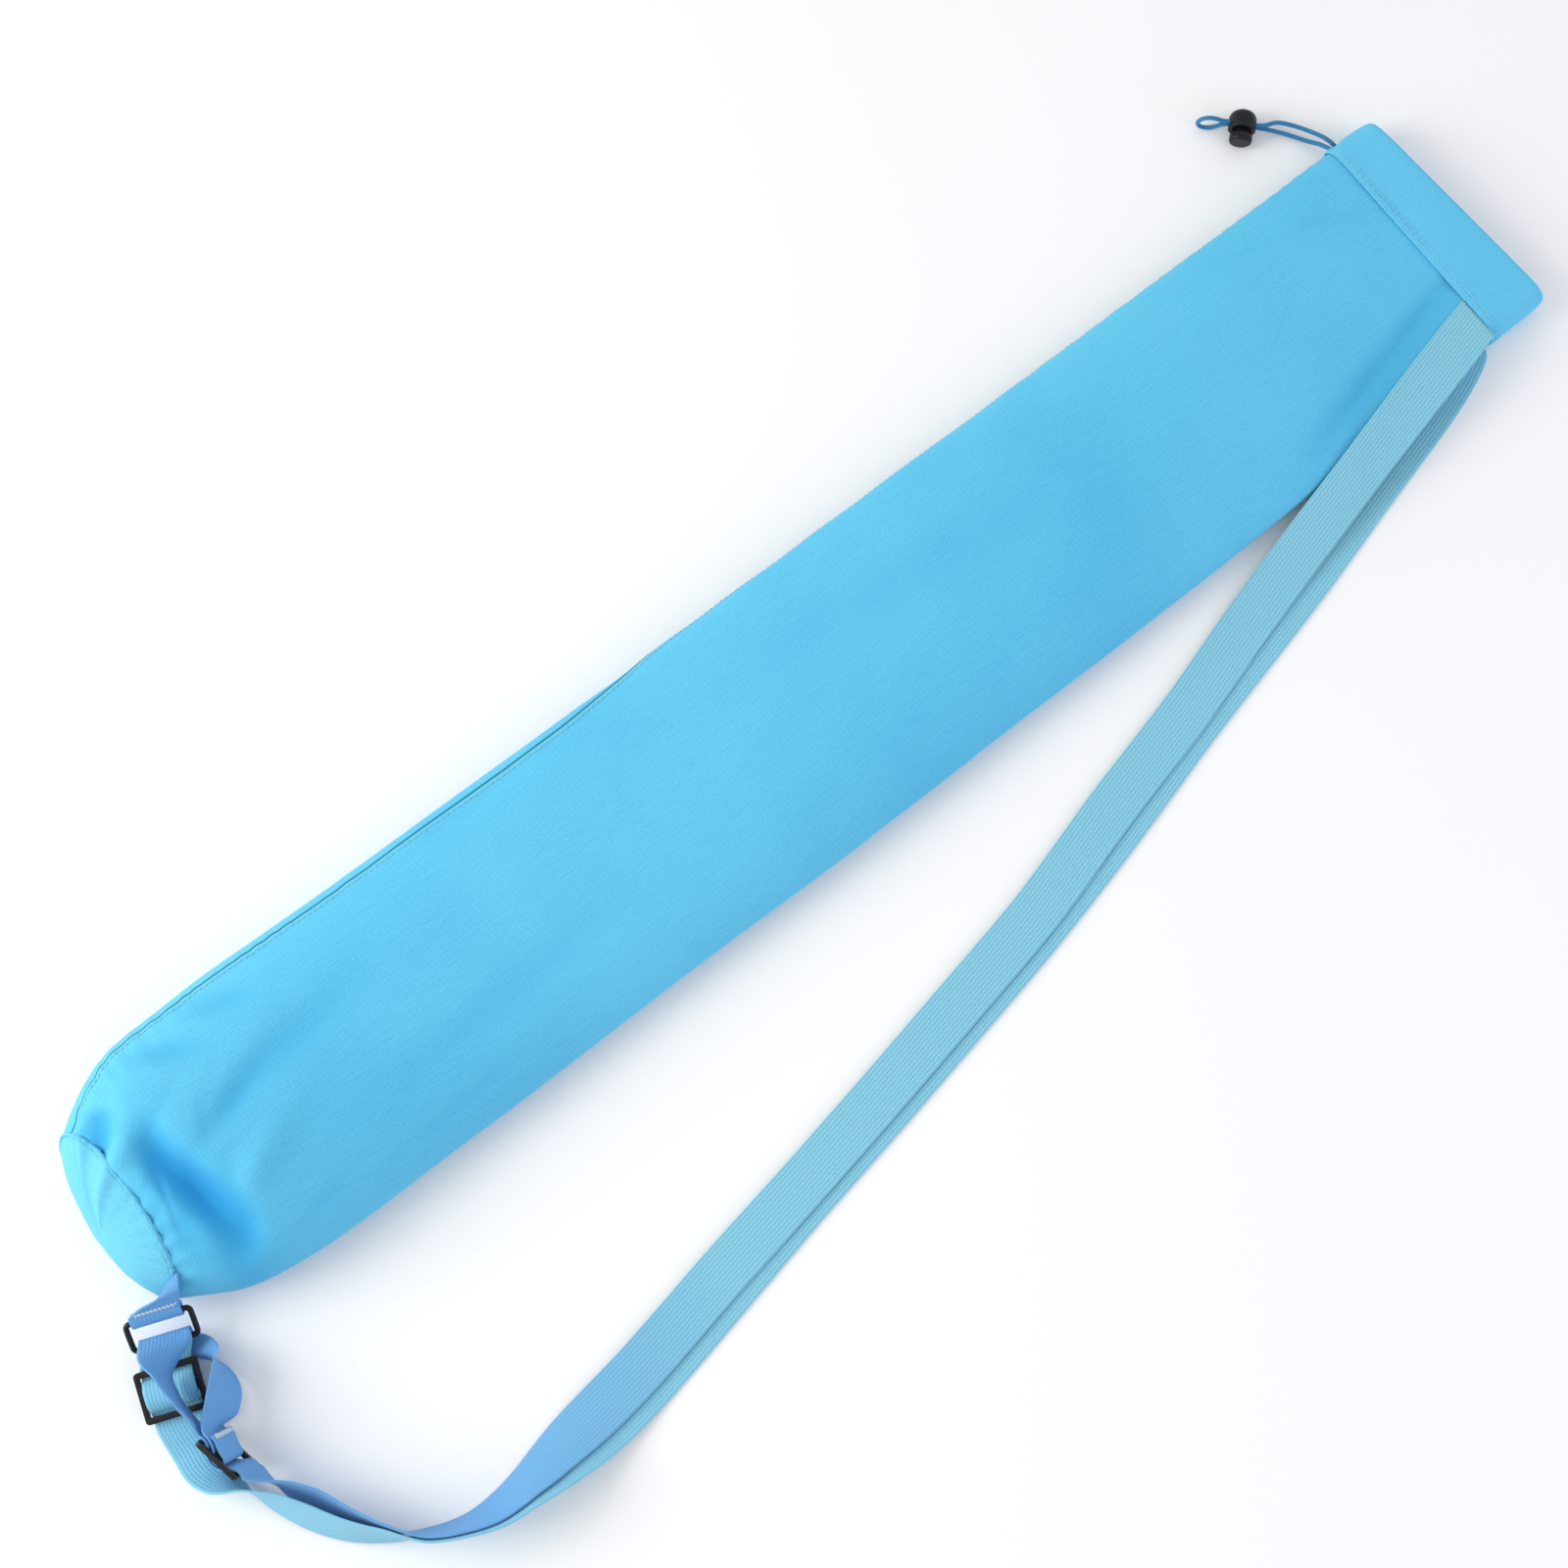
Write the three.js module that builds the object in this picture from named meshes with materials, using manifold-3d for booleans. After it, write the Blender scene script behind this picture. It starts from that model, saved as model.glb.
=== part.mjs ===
// Long drawstring bag for a rolled mat, lying flat: a cloth tube with a half collapsed round base,
// a corded mouth, and two webbing straps that meet at one ring on the base seam.
// Millimetres, +Z up. +X runs from the base to the mouth, the straps lie on the -Y side.

import * as THREE from 'three';
import { mergeVertices } from 'three/addons/utils/BufferGeometryUtils.js';
import Module from 'manifold-3d';

const wasm = await Module();
wasm.setup();

// Driving dimensions

const FIT_GAP = 0.3;

const CLOTH = 1.2;
const SECTION_HALF_STEPS = 16;
const SEAM_X = 396;
const FLOOR_SPREAD = 3;
const FOLD_FADE = 1.6;

const CASING_LENGTH = 32.5;
const CASING_WALL = 1.1;
const CASING_SKEW = 0.0018;
const CASING_START_Y = 7.5;
const CORD_SLIT = { x: 402.9, width: 9.6, low: 3.2, high: 14.8, depth: 9, inset: 2.6 };

const WEB_WIDTH = 25;
const WEB_THICK = 1.2;
const WEB_STEPS = 2;

const SLIDER = {
  width: 31, length: 25, thick: 2.3, bar: 3, endBar: 2.6, centreBar: 3.8, corner: 2, slotCorner: 0.6,
};
const RING = { width: 34.5, length: 18, rod: 3.2, corner: 2.4 };

const CORD_DIAMETER = 2.3;
const CORD_STEPS = 80;
const CORD_SIDES = 8;

const LOCK = {
  diameter: 14.5, length: 11, edge: 2.2, bore: 9.6, boreDepth: 9.4,
  stem: 9, stemInside: 6.6, cap: 12, capLength: 4.2, restGap: 2.8, travel: 2.5,
  holeWide: 3, holeHigh: 5.6, holeFromRim: 3.9,
};
const LOCK_SIDES = 20;
const LOCK_CENTRE = new THREE.Vector3(374.3, 112.3, 7.3);
const LOCK_TURN = THREE.MathUtils.degToRad(223.8);

// Cloth sections from the base seam to the casing seam. x is where the section meets the floor and
// lean how far it tips towards the mouth per millimetre of height. plus and minus are the edges in Y,
// top the height, edge the height of the side fold, lift the clearance under the cloth, square the
// power of the rounding and steps the divisions up to the next row.
const BODY_COLUMNS = ['x', 'lean', 'plus', 'minus', 'top', 'edge', 'lift', 'square', 'steps'];
const BODY_ROWS = [
  [-426, 0.56, 47, -46, 46, 19, 0.6, 2.3, 1],
  [-417, 0.5, 53, -51.5, 51, 19, 0.2, 2.3, 2],
  [-405, 0.4, 59.5, -57.5, 54, 18, 0, 2.3, 2],
  [-392, 0.28, 64.5, -63, 55.5, 17, 0, 2.3, 2],
  [-375, 0.14, 68.4, -67.2, 55.5, 16, 0, 2.2, 2],
  [-352, 0.04, 70, -70, 52.5, 15, 0, 2.1, 2],
  [-320, 0, 71.6, -71.2, 47.5, 14, 0, 2, 2],
  [-280, 0, 71.4, -70.7, 42.5, 13, 0, 2, 2],
  [-230, 0, 70.8, -70.6, 38.5, 12, 0, 2, 2],
  [-140, 0, 70.3, -70.5, 34, 11, 0, 2, 3],
  [0, 0, 70.2, -70.5, 31, 10.5, 0, 2, 3],
  [150, 0, 70.3, -69.6, 28, 10, 0, 2.1, 3],
  [245, 0, 70.5, -68.4, 24.5, 9.5, 0.3, 2.3, 2],
  [300, 0, 70.7, -66.4, 21.8, 9.5, 1.4, 3, 2],
  [345, 0, 70.8, -63.4, 19.6, 9.6, 1.7, 5, 2],
  [375, 0, 70.9, -61, 18.4, 9.8, 1.7, 9, 1],
  [SEAM_X, 0, 70.9, -59.6, 18, 9.85, 1.7, 14, 1],
];

// Dents and ridges pressed into the upper cloth. turn is the angle of the long axis from +X in degrees,
// long and wide the reach each way, and depth is negative for a ridge.
const FOLD_COLUMNS = ['x', 'y', 'turn', 'long', 'wide', 'depth'];
const FOLD_ROWS = [
  [-375, -19, 100, 24, 9, 15],
  [-381, 8, 70, 16, 8, 6],
  [-398, 33, 35, 16, 7, 5],
  [-401, 17, 20, 12, 5, -3],
  [-391, 46, -35, 20, 6, -3.5],
  [-369, -43, 60, 22, 9, 5],
  [-346, -26, 25, 26, 8, -3],
  [-349, 44, -30, 18, 6, 2.5],
  [-316, 50, -20, 16, 6, 2],
  [-338, 6, 20, 26, 6, 2.4],
  [-300, 14, 8, 40, 10, 1.6],
  [-212, -30, 4, 60, 10, 1.2],
  [60, 22, -3, 90, 14, 0.8],
  [362, -33, 12, 40, 5.5, 2.2],
  [318, -44, 14, 30, 7, 2],
];

// The base disc: how far it bulges past its rim, where the bulge is deepest, and its puckers.
const BASE_RINGS = 6;
const BASE_BULGE = 11;
const BASE_POWER = 2.4;
const BASE_LIFT = 0.1;
const BASE_CENTRE = { y: -4, z: 17 };
const BASE_PUCKER = { count: 5, depth: 1.6, phase: 0.7 };

// Casing cross-section: along is the distance from the seam towards the mouth, and outer and inner are
// the two faces of the folded band, measured out from the line of the body cloth.
const CASING_COLUMNS = ['along', 'outer', 'inner'];
const CASING_ROWS = [
  [0, 1.6, -2.4],
  [2.5, 1.65, -3.8],
  [9, 1.6, -4.6],
  [17, 1.6, -4.7],
  [25, 1.4, -4.5],
  [30, 1, -3.9],
  [CASING_LENGTH, 0.1, -2.6],
];

// Long runs of the two straps, from the casing to their sliders. The roll turns the strap about its
// length: at 0 it lies flat with its outer edge away from the bag, at 90 its outer edge is on top.
const RUN_COLUMNS = ['x', 'y', 'z', 'roll'];
const FRONT_RUN = [
  [372, -54.2, 19.2, -3],
  [350, -59.8, 18.8, -8],
  [325, -66.3, 16.8, -16],
  [300, -72.8, 13.2, -20],
  [270, -80.6, 8.8, -15],
  [240, -88.5, 4.8, -7],
  [200, -99.9, 2.5, -1],
  [148.6, -115.7, 2.15, 0],
  [87.4, -131.5, 2.15, 0],
  [27, -148.9, 2.15, 0],
  [-32.2, -161.5, 2.15, 0],
  [-90.5, -173.4, 2.15, 0],
  [-147.7, -184.4, 2.15, 0],
  [-204, -194.5, 2.15, 0],
  [-259.6, -205.6, 2.6, 0],
  [-290, -210, 3.8, 8],
  [-314, -212.8, 6.6, 28],
  [-335, -215.6, 10.4, 48],
  [-352, -216.6, 12.2, 58],
  [-368, -213.6, 12.9, 72],
  [-384, -206.5, 13.2, 82],
  [-398, -194.5, 13.2, 101],
  [-409, -179, 12.6, 112],
  [-417.5, -163, 12.6, 118],
  [-425, -150, 14.6, 108],
];
const BACK_RUN = [
  [384, -56, 0.65, 0],
  [370, -62.5, 0.65, 0],
  [350, -69.2, 0.65, 0],
  [329, -75, 0.65, 0],
  [290, -85.6, 0.65, 0],
  [240.8, -99.6, 0.65, 0],
  [147.5, -123.4, 0.65, 0],
  [86.6, -140.4, 0.65, 0],
  [20.6, -157, 0.65, 0],
  [-38.2, -169.2, 0.65, 0],
  [-95.8, -180.8, 0.65, 0],
  [-152.7, -191.5, 0.65, 0],
  [-208.8, -203.2, 0.65, 0],
  [-261, -213.9, 0.9, 0],
  [-290, -218.2, 2.9, 8],
  [-314, -219.5, 8, 28],
  [-335, -219.9, 12.2, 48],
  [-352, -219.6, 13.4, 58],
  [-368.6, -215.8, 13.4, 72],
  [-385, -208.4, 13.4, 82],
  [-400, -196.4, 13.3, 104],
  [-414.4, -182, 12.8, 115],
  [-424.8, -166.6, 12.8, 119],
  [-433, -152, 13.2, 112],
  [-440.8, -139, 13.2, 91],
  [-447, -127, 9.8, 48],
  [-449.5, -117, 5.8, 22],
  [-449, -108, 3.4, 5],
];

// Drawcord route: out of the casing slit, through the lock, back, and round inside the casing.
const CORD_ROUTE = [
  [413.3, -58.2, 8.5], [413.2, -57.2, 5.9], [413, -54.9, 3.9], [412.7, -51.5, 3.2], [411, -36, 3.2],
  [405.6, 40, 3.2], [404.9, 65, 3.3], [404.8, 69.2, 5.5], [404.6, 73, 8], [403.4, 79.6, 8],
  [401, 86.6, 6.4], [396.6, 95.4, 5], [390, 102.2, 6.2], [382, 105, 8], [374.3, 112.3, 8.65],
  [369.3, 117.5, 8.65], [366.5, 119.8, 9.2], [364, 121.7, 11.15], [361.3, 123.9, 12.2],
  [358.5, 126.15, 11.25], [356.85, 127.5, 8.35], [356.95, 127.4, 4.7], [358.8, 125.95, 1.95],
  [361.6, 123.7, 1.25], [364.2, 121.6, 2.6], [366.4, 119.8, 5], [369.15, 117.6, 5.95],
  [374.3, 112.3, 5.95], [381.4, 104.9, 5.6], [387.5, 99.4, 3.4],
  [392.6, 93, 2.6], [396.6, 85.6, 3.6], [399.2, 79, 7], [400.2, 73.6, 10], [400.6, 69.8, 12.5],
  [401, 65.6, 15.1], [402, 58, 16.3], [411, -36, 16.4], [412.7, -51, 16.3], [413, -54.1, 15.5],
  [413.2, -56.7, 13.5], [413.3, -58.1, 11],
];

const COLOURS = {
  cloth: { color: 0x63c6ea, roughness: 0.85, metalness: 0 },
  casing: { color: 0x6bcbf0, roughness: 0.85, metalness: 0 },
  base: { color: 0x8ad5ea, roughness: 0.85, metalness: 0 },
  webbing: { color: 0x77bfdc, roughness: 0.8, metalness: 0 },
  plastic: { color: 0x101418, roughness: 0.4, metalness: 0 },
  cord: { color: 0x2f74a6, roughness: 0.7, metalness: 0 },
};

// Helpers

function named(columns, row) {
  return Object.fromEntries(columns.map((column, i) => [column, row[i]]));
}

function meshOf(name, geometry, look) {
  const mesh = new THREE.Mesh(geometry, new THREE.MeshStandardMaterial(look));
  mesh.name = name;
  return mesh;
}

function geometryOf(points, triangles) {
  const geometry = new THREE.BufferGeometry();
  const coordinates = points.flatMap((p) => p.toArray());
  geometry.setAttribute('position', new THREE.Float32BufferAttribute(coordinates, 3));
  geometry.setIndex(triangles.flat());
  return geometry;
}

// Quads between two rings of the same count, with the faces turned out for rings that run
// anticlockwise when seen from the last ring.
function band(from, to, count) {
  const triangles = [];
  for (let k = 0; k < count; k++) {
    const next = (k + 1) % count;
    triangles.push([from + k, from + next, to + next], [from + k, to + next, to + k]);
  }
  return triangles;
}

// A solid through rings with a fan over each end.
function loftSolid(rings) {
  const count = rings[0].length;
  const last = (rings.length - 1) * count;
  const triangles = [];
  for (let i = 0; i + 1 < rings.length; i++) triangles.push(...band(i * count, (i + 1) * count, count));
  for (let k = 1; k + 1 < count; k++) {
    triangles.push([0, k + 1, k]);
    triangles.push([last, last + k, last + k + 1]);
  }
  return geometryOf(rings.flat(), triangles);
}

// A ring-shaped solid whose last ring joins its first.
function loftLoop(rings) {
  const count = rings[0].length;
  const triangles = [];
  rings.forEach((_, i) => triangles.push(...band(i * count, ((i + 1) % rings.length) * count, count)));
  return geometryOf(rings.flat(), triangles);
}

// A disc-shaped shell: rings from one pole to the other.
function loftPoles(firstPole, rings, lastPole) {
  const count = rings[0].length;
  const first = rings.length * count;
  const start = (rings.length - 1) * count;
  const triangles = [];
  for (let i = 0; i + 1 < rings.length; i++) triangles.push(...band(i * count, (i + 1) * count, count));
  for (let k = 0; k < count; k++) {
    const next = (k + 1) % count;
    triangles.push([first, next, k]);
    triangles.push([start + k, start + next, first + 1]);
  }
  return geometryOf([...rings.flat(), firstPole, lastPole], triangles);
}

function solidOf(geometry) {
  const bare = geometry.clone();
  bare.deleteAttribute('normal');
  bare.deleteAttribute('uv');
  const merged = mergeVertices(bare, 1e-4);
  const vertProperties = new Float32Array(merged.attributes.position.array);
  const triVerts = new Uint32Array(merged.index.array);
  return new wasm.Manifold(new wasm.Mesh({ numProp: 3, vertProperties, triVerts }));
}

function geometryFrom(solid) {
  const { vertProperties, triVerts } = solid.getMesh();
  const geometry = new THREE.BufferGeometry();
  geometry.setAttribute('position', new THREE.BufferAttribute(new Float32Array(vertProperties), 3));
  geometry.setIndex(new THREE.BufferAttribute(new Uint32Array(triVerts), 1));
  return geometry;
}

// Cloth

function cubic(a, b, c, d, t) {
  return b + 0.5 * t * (c - a + t * (2 * a - 5 * b + 4 * c - d + t * (3 * (b - c) + d - a)));
}

function bodySections() {
  const rows = BODY_ROWS.map((row) => named(BODY_COLUMNS, row));
  const at = (i) => rows[Math.min(Math.max(i, 0), rows.length - 1)];
  const sections = [];
  for (let i = 0; i + 1 < rows.length; i++) {
    for (let j = 0; j < rows[i].steps; j++) {
      const t = j / rows[i].steps;
      const blend = (c) => cubic(at(i - 1)[c], at(i)[c], at(i + 1)[c], at(i + 2)[c], t);
      sections.push(Object.fromEntries(BODY_COLUMNS.map((c) => [c, blend(c)])));
    }
  }
  return [...sections, at(rows.length - 1)];
}

const FOLDS = FOLD_ROWS.map((row) => named(FOLD_COLUMNS, row));

function foldDepth(x, y) {
  return FOLDS.reduce((sum, fold) => {
    const turn = THREE.MathUtils.degToRad(fold.turn);
    const along = (x - fold.x) * Math.cos(turn) + (y - fold.y) * Math.sin(turn);
    const across = (y - fold.y) * Math.cos(turn) - (x - fold.x) * Math.sin(turn);
    return sum + fold.depth * Math.exp(-((along / fold.long) ** 2) - (across / fold.wide) ** 2);
  }, 0);
}

// One closed ring round the cloth at a section, inset from its outer face by the given depth.
function clothRing(section, inset) {
  const centre = (section.plus + section.minus) / 2;
  const half = (section.plus - section.minus) / 2;
  const { edge, lift, top } = section;
  return Array.from({ length: 2 * SECTION_HALF_STEPS }, (_, k) => {
    const angle = (Math.PI * k) / SECTION_HALF_STEPS;
    const u = Math.cos(angle);
    const rise = Math.sqrt(Math.max(0, 1 - Math.abs(u) ** section.square));
    const y = centre + (half - inset) * u;
    const floor = Math.max(lift + inset, edge - (edge - lift - inset + FLOOR_SPREAD) * rise);
    const roof = edge + (top - inset - edge) * rise;
    const isRoof = k <= SECTION_HALF_STEPS;
    const flatZ = isRoof ? roof : floor;
    const x = section.x + section.lean * flatZ;
    const pressed = isRoof ? foldDepth(x, centre + half * u) * Math.min(1, rise * FOLD_FADE) : 0;
    return new THREE.Vector3(x, y, flatZ - pressed);
  });
}

function bodyPanel() {
  const sections = bodySections();
  const outer = sections.map((section) => clothRing(section, 0));
  const inner = sections.map((section) => clothRing(section, CLOTH));
  return loftLoop([...outer, ...inner.reverse()]);
}

function basePanel() {
  const rim = bodySections()[0];
  const outerRim = clothRing(rim, 0);
  const lean = new THREE.Vector3(-1, 0, rim.lean).normalize();
  const pole = new THREE.Vector3(rim.x + rim.lean * BASE_CENTRE.z, BASE_CENTRE.y, BASE_CENTRE.z);
  const shell = (share, offset, k) => {
    const point = pole.clone().lerp(outerRim[k], share);
    const angle = (Math.PI * k) / SECTION_HALF_STEPS;
    const pucker = BASE_PUCKER.depth * Math.cos(BASE_PUCKER.count * angle + BASE_PUCKER.phase) * share;
    const bulge = (BASE_BULGE + pucker) * (1 - share ** BASE_POWER) + FIT_GAP;
    point.addScaledVector(lean, bulge + offset);
    return point.setZ(Math.max(point.z, BASE_LIFT + CLOTH - offset));
  };
  const ringAt = (share, offset) => outerRim.map((_, k) => shell(share, offset, k));
  const shares = Array.from({ length: BASE_RINGS }, (_, i) => (i + 1) / BASE_RINGS);
  const outer = shares.map((share) => ringAt(share, CLOTH));
  const inner = shares.map((share) => ringAt(share, 0)).reverse();
  const poleAt = (offset) => pole.clone().addScaledVector(lean, BASE_BULGE + FIT_GAP + offset);
  return loftPoles(poleAt(CLOTH), [...outer, ...inner], poleAt(0));
}

function drawcordCasing() {
  const section = bodySections().at(-1);
  const line = clothRing(section, 0);
  const outward = line.map((_, k) => {
    const before = line[(k + line.length - 1) % line.length];
    const after = line[(k + 1) % line.length];
    return new THREE.Vector3(0, after.z - before.z, before.y - after.y).normalize();
  });
  const rows = CASING_ROWS.map((row) => named(CASING_COLUMNS, row));
  const place = (k, along, out) => {
    const stretch = 1 - CASING_SKEW * (line[k].y - CASING_START_Y);
    const x = SEAM_X + FIT_GAP + along * stretch;
    return line[k].clone().addScaledVector(outward[k], out).setX(x);
  };
  const ringOf = (profile) => line.map((_, k) => profile.map(([along, out]) => place(k, along, out)));
  const sleeve = [
    ...rows.map((row) => [row.along, row.inner]),
    ...rows.map((row) => [row.along, row.outer]).reverse(),
  ];
  const channelRows = rows.slice(1, -1);
  const channel = [
    ...channelRows.map((row) => [row.along, row.inner + CASING_WALL]),
    ...channelRows.map((row) => [row.along, row.outer - CASING_WALL]).reverse(),
  ];
  const slit = new THREE.BoxGeometry(CORD_SLIT.width, CORD_SLIT.depth, CORD_SLIT.high - CORD_SLIT.low);
  const slitY = section.plus + CORD_SLIT.depth / 2 - CORD_SLIT.inset;
  slit.translate(CORD_SLIT.x, slitY, (CORD_SLIT.high + CORD_SLIT.low) / 2);
  const hollow = solidOf(loftLoop(ringOf(channel))).add(solidOf(slit));
  return geometryFrom(solidOf(loftLoop(ringOf(sleeve))).subtract(hollow));
}

// Webbing

// A flat strap through rows that hold a centre point, the direction across the strap and, where it is
// gathered, its width. Both faces are split along the same diagonal, so a twist keeps its thickness.
function ribbon(rows) {
  const centres = new THREE.CatmullRomCurve3(rows.map((row) => row.point), false, 'centripetal');
  const turns = new THREE.CatmullRomCurve3(rows.map((row) => row.across), false, 'centripetal');
  const widths = rows.map((row) => row.width ?? WEB_WIDTH);
  const count = (rows.length - 1) * WEB_STEPS;
  const points = [];
  const triangles = [[0, 2, 1], [0, 3, 2]];
  for (let i = 0; i <= count; i++) {
    const t = i / count;
    const centre = centres.getPoint(t);
    const across = turns.getPoint(t).normalize();
    const face = across.clone().cross(centres.getTangent(t)).normalize();
    const before = Math.floor(i / WEB_STEPS);
    const after = Math.min(before + 1, rows.length - 1);
    const width = THREE.MathUtils.lerp(widths[before], widths[after], (i % WEB_STEPS) / WEB_STEPS);
    for (const [a, b] of [[-1, -1], [-1, 1], [1, 1], [1, -1]]) {
      const edge = centre.clone().addScaledVector(across, (a * width) / 2);
      points.push(edge.addScaledVector(face, (b * WEB_THICK) / 2));
    }
    if (i === count) break;
    const from = 4 * i;
    const sides = band(from, from + 4, 4).slice(0, 6);
    triangles.push(...sides, [from + 3, from, from + 7], [from, from + 4, from + 7]);
  }
  const last = 4 * count;
  triangles.push([last, last + 1, last + 2], [last, last + 2, last + 3]);
  return geometryOf(points, triangles);
}

function runRows(start, table) {
  const rows = table.map((row) => named(RUN_COLUMNS, row));
  const points = rows.map((row) => new THREE.Vector3(row.x, row.y, row.z));
  return rows.map((row, i) => {
    const before = i === 0 ? start : points[i - 1];
    const after = points[Math.min(i + 1, points.length - 1)];
    const ahead = after.clone().sub(before).setZ(0).normalize();
    const outward = new THREE.Vector3(-ahead.y, ahead.x, 0);
    const roll = THREE.MathUtils.degToRad(row.roll);
    const across = outward.multiplyScalar(Math.cos(roll)).setZ(Math.sin(roll));
    return { point: points[i], across };
  });
}

// A piece of hardware has its width along u, its length along v towards the bag, and its upper face
// along n.
function hardwareFrame(centre, u, v) {
  const width = new THREE.Vector3(...u).normalize();
  const length = new THREE.Vector3(...v);
  length.addScaledVector(width, -length.dot(width)).normalize();
  const normal = width.clone().cross(length);
  const origin = new THREE.Vector3(...centre);
  const at = (a, b, c) => origin.clone()
    .addScaledVector(width, a)
    .addScaledVector(length, b)
    .addScaledVector(normal, c);
  const matrix = new THREE.Matrix4().makeBasis(width, length, normal).setPosition(origin);
  return { width, length, normal, at, matrix };
}

const FRONT_SLIDER = hardwareFrame([-437.5, -121, 18.6], [-0.22, -0.045, 0.974], [-0.2, 0.98, 0]);
const BACK_SLIDER = hardwareFrame([-443, -80, 9.4], [0.937, -0.35, 0.03], [0.262, 0.965, 0.16]);
const STRAP_RING = hardwareFrame([-429.5, -55, 16], [0.934, -0.358, 0], [0.28, 0.78, 0.5]);

// A strap through a slider: up through the near slot, over the centre bar and down the far slot.
const PASS_ROWS = [
  [-13, -2.2], [-9.6, -2.15], [-8, -1.4], [-6.2, 0.9], [-3.5, 3.3], [0, 3.9],
  [3.5, 3.3], [6.2, 0.9], [8, -1.4], [9.6, -2.15], [12.5, -2.2],
];
const PASS_LEAD = [-17, -2.3];
const PASS_TAIL = [16, -2.3];

// The sewn end of a strap: in under the far bar, round the centre bar and back under itself.
const SEWN_ROWS = [
  [12.5, -4.2], [9.5, -4], [6.3, -2.8], [3.8, -0.9], [3.2, 0.7], [2.1, 2.05],
  [0, 2.2], [-2.1, 2.05], [-3.2, 0.5], [-2.5, -1.8], [0.2, -2.6],
  [3.4, -3.9], [6.6, -5.5], [9.5, -5.9],
];

function sliderRows(frame, table, side) {
  return table.map(([v, n]) => ({
    point: frame.at(0, v, n),
    across: frame.width.clone().multiplyScalar(side),
  }));
}

// A turn round a rod of the ring, from above it to below it. rod is +1 for the bar nearer the bag.
function wrapRows(rod, radius, side, startDegrees) {
  const centreV = (rod * (RING.length - RING.rod)) / 2;
  const turns = 6;
  return Array.from({ length: turns + 1 }, (_, i) => {
    const angle = THREE.MathUtils.degToRad(startDegrees - (i / turns) * (startDegrees + 90));
    const v = centreV - rod * radius * Math.cos(angle);
    return {
      point: STRAP_RING.at(0, v, radius * Math.sin(angle)),
      across: STRAP_RING.width.clone().multiplyScalar(side),
    };
  });
}

const ROD_GAP = (RING.rod + WEB_THICK) / 2 + FIT_GAP;
const OUTER_WRAP = ROD_GAP + WEB_THICK + 2 * FIT_GAP;

function freeRows(table) {
  return table.map(([x, y, z, ...across]) => ({
    point: new THREE.Vector3(x, y, z),
    across: new THREE.Vector3(...across).normalize(),
  }));
}

// Free stretches between slider and ring: a centre point and the direction across the strap.
const FRONT_TO_RING = freeRows([
  [-440.4, -100, 22.4, 0.02, 0.1, 0.98],
  [-441, -87, 26.4, 0, 0.1, 0.98],
  [-439.4, -75, 29, -0.12, 0.06, 0.98],
  [-436, -67.4, 26.6, -0.6, 0.25, 0.76],
  [-432.1, -61.8, 20, -0.88, 0.34, 0.3],
]);
const RING_TO_FRONT = freeRows([
  [-428.5, -63.5, 4.2, -0.95, 0.3, -0.03],
  [-424.6, -68.8, 5.4, -0.88, 0.3, -0.37],
  [-420.2, -75.8, 11, -0.6, 0.24, -0.77],
  [-417.8, -81.8, 13.6, -0.12, 0.05, -0.99],
  [-418.8, -89.8, 15.8, 0.22, -0.16, -0.96],
  [-423.2, -97.4, 17.2, 0.4, -0.28, -0.87],
  [-430, -104, 18.2, 0.42, -0.26, -0.87],
]);

// Both straps are caught in the casing seam, one on each face of the bag.
const STRAP_START = { y: -48.3, frontZ: 18.95, backZ: 0.65 };

function strapStart(z) {
  const point = new THREE.Vector3(SEAM_X - FIT_GAP, STRAP_START.y, z);
  return { point, across: new THREE.Vector3(0, -1, 0) };
}

function frontStrap() {
  const start = strapStart(STRAP_START.frontZ);
  return ribbon([
    start,
    ...runRows(start.point, FRONT_RUN),
    ...sliderRows(FRONT_SLIDER, [PASS_LEAD, ...PASS_ROWS, PASS_TAIL], 1),
    ...FRONT_TO_RING,
    ...wrapRows(-1, OUTER_WRAP, -1, 20),
    ...RING_TO_FRONT,
    ...sliderRows(FRONT_SLIDER, SEWN_ROWS, -1),
  ]);
}

function backStrap() {
  const start = strapStart(STRAP_START.backZ);
  return ribbon([
    start,
    ...runRows(start.point, BACK_RUN),
    ...sliderRows(BACK_SLIDER, [PASS_LEAD, ...PASS_ROWS], -1),
    ...wrapRows(-1, ROD_GAP, -1, 90),
    ...sliderRows(BACK_SLIDER, SEWN_ROWS, -1),
  ]);
}

// The tab is gathered where it leaves the base seam, turns and spreads as it comes down, folds round the
// ring's near rod and is sewn back on itself. share is how far it turns from the rod towards the seam.
const TAB_SEAM = new THREE.Vector3(0.42, 0.5, 0.75);
const TAB_COLUMNS = ['x', 'y', 'z', 'share', 'width'];
const TAB_ROWS = [
  [-409.5, -41.3, 33.1, 0.5, 9],
  [-415.4, -45.6, 32.4, 0.25, 13],
  [-421, -46.2, 28.8, 0.05, 20],
];
const TAB_LEADS = [4.2, 2];
const TAB_TAIL = [2, 3];

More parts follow.
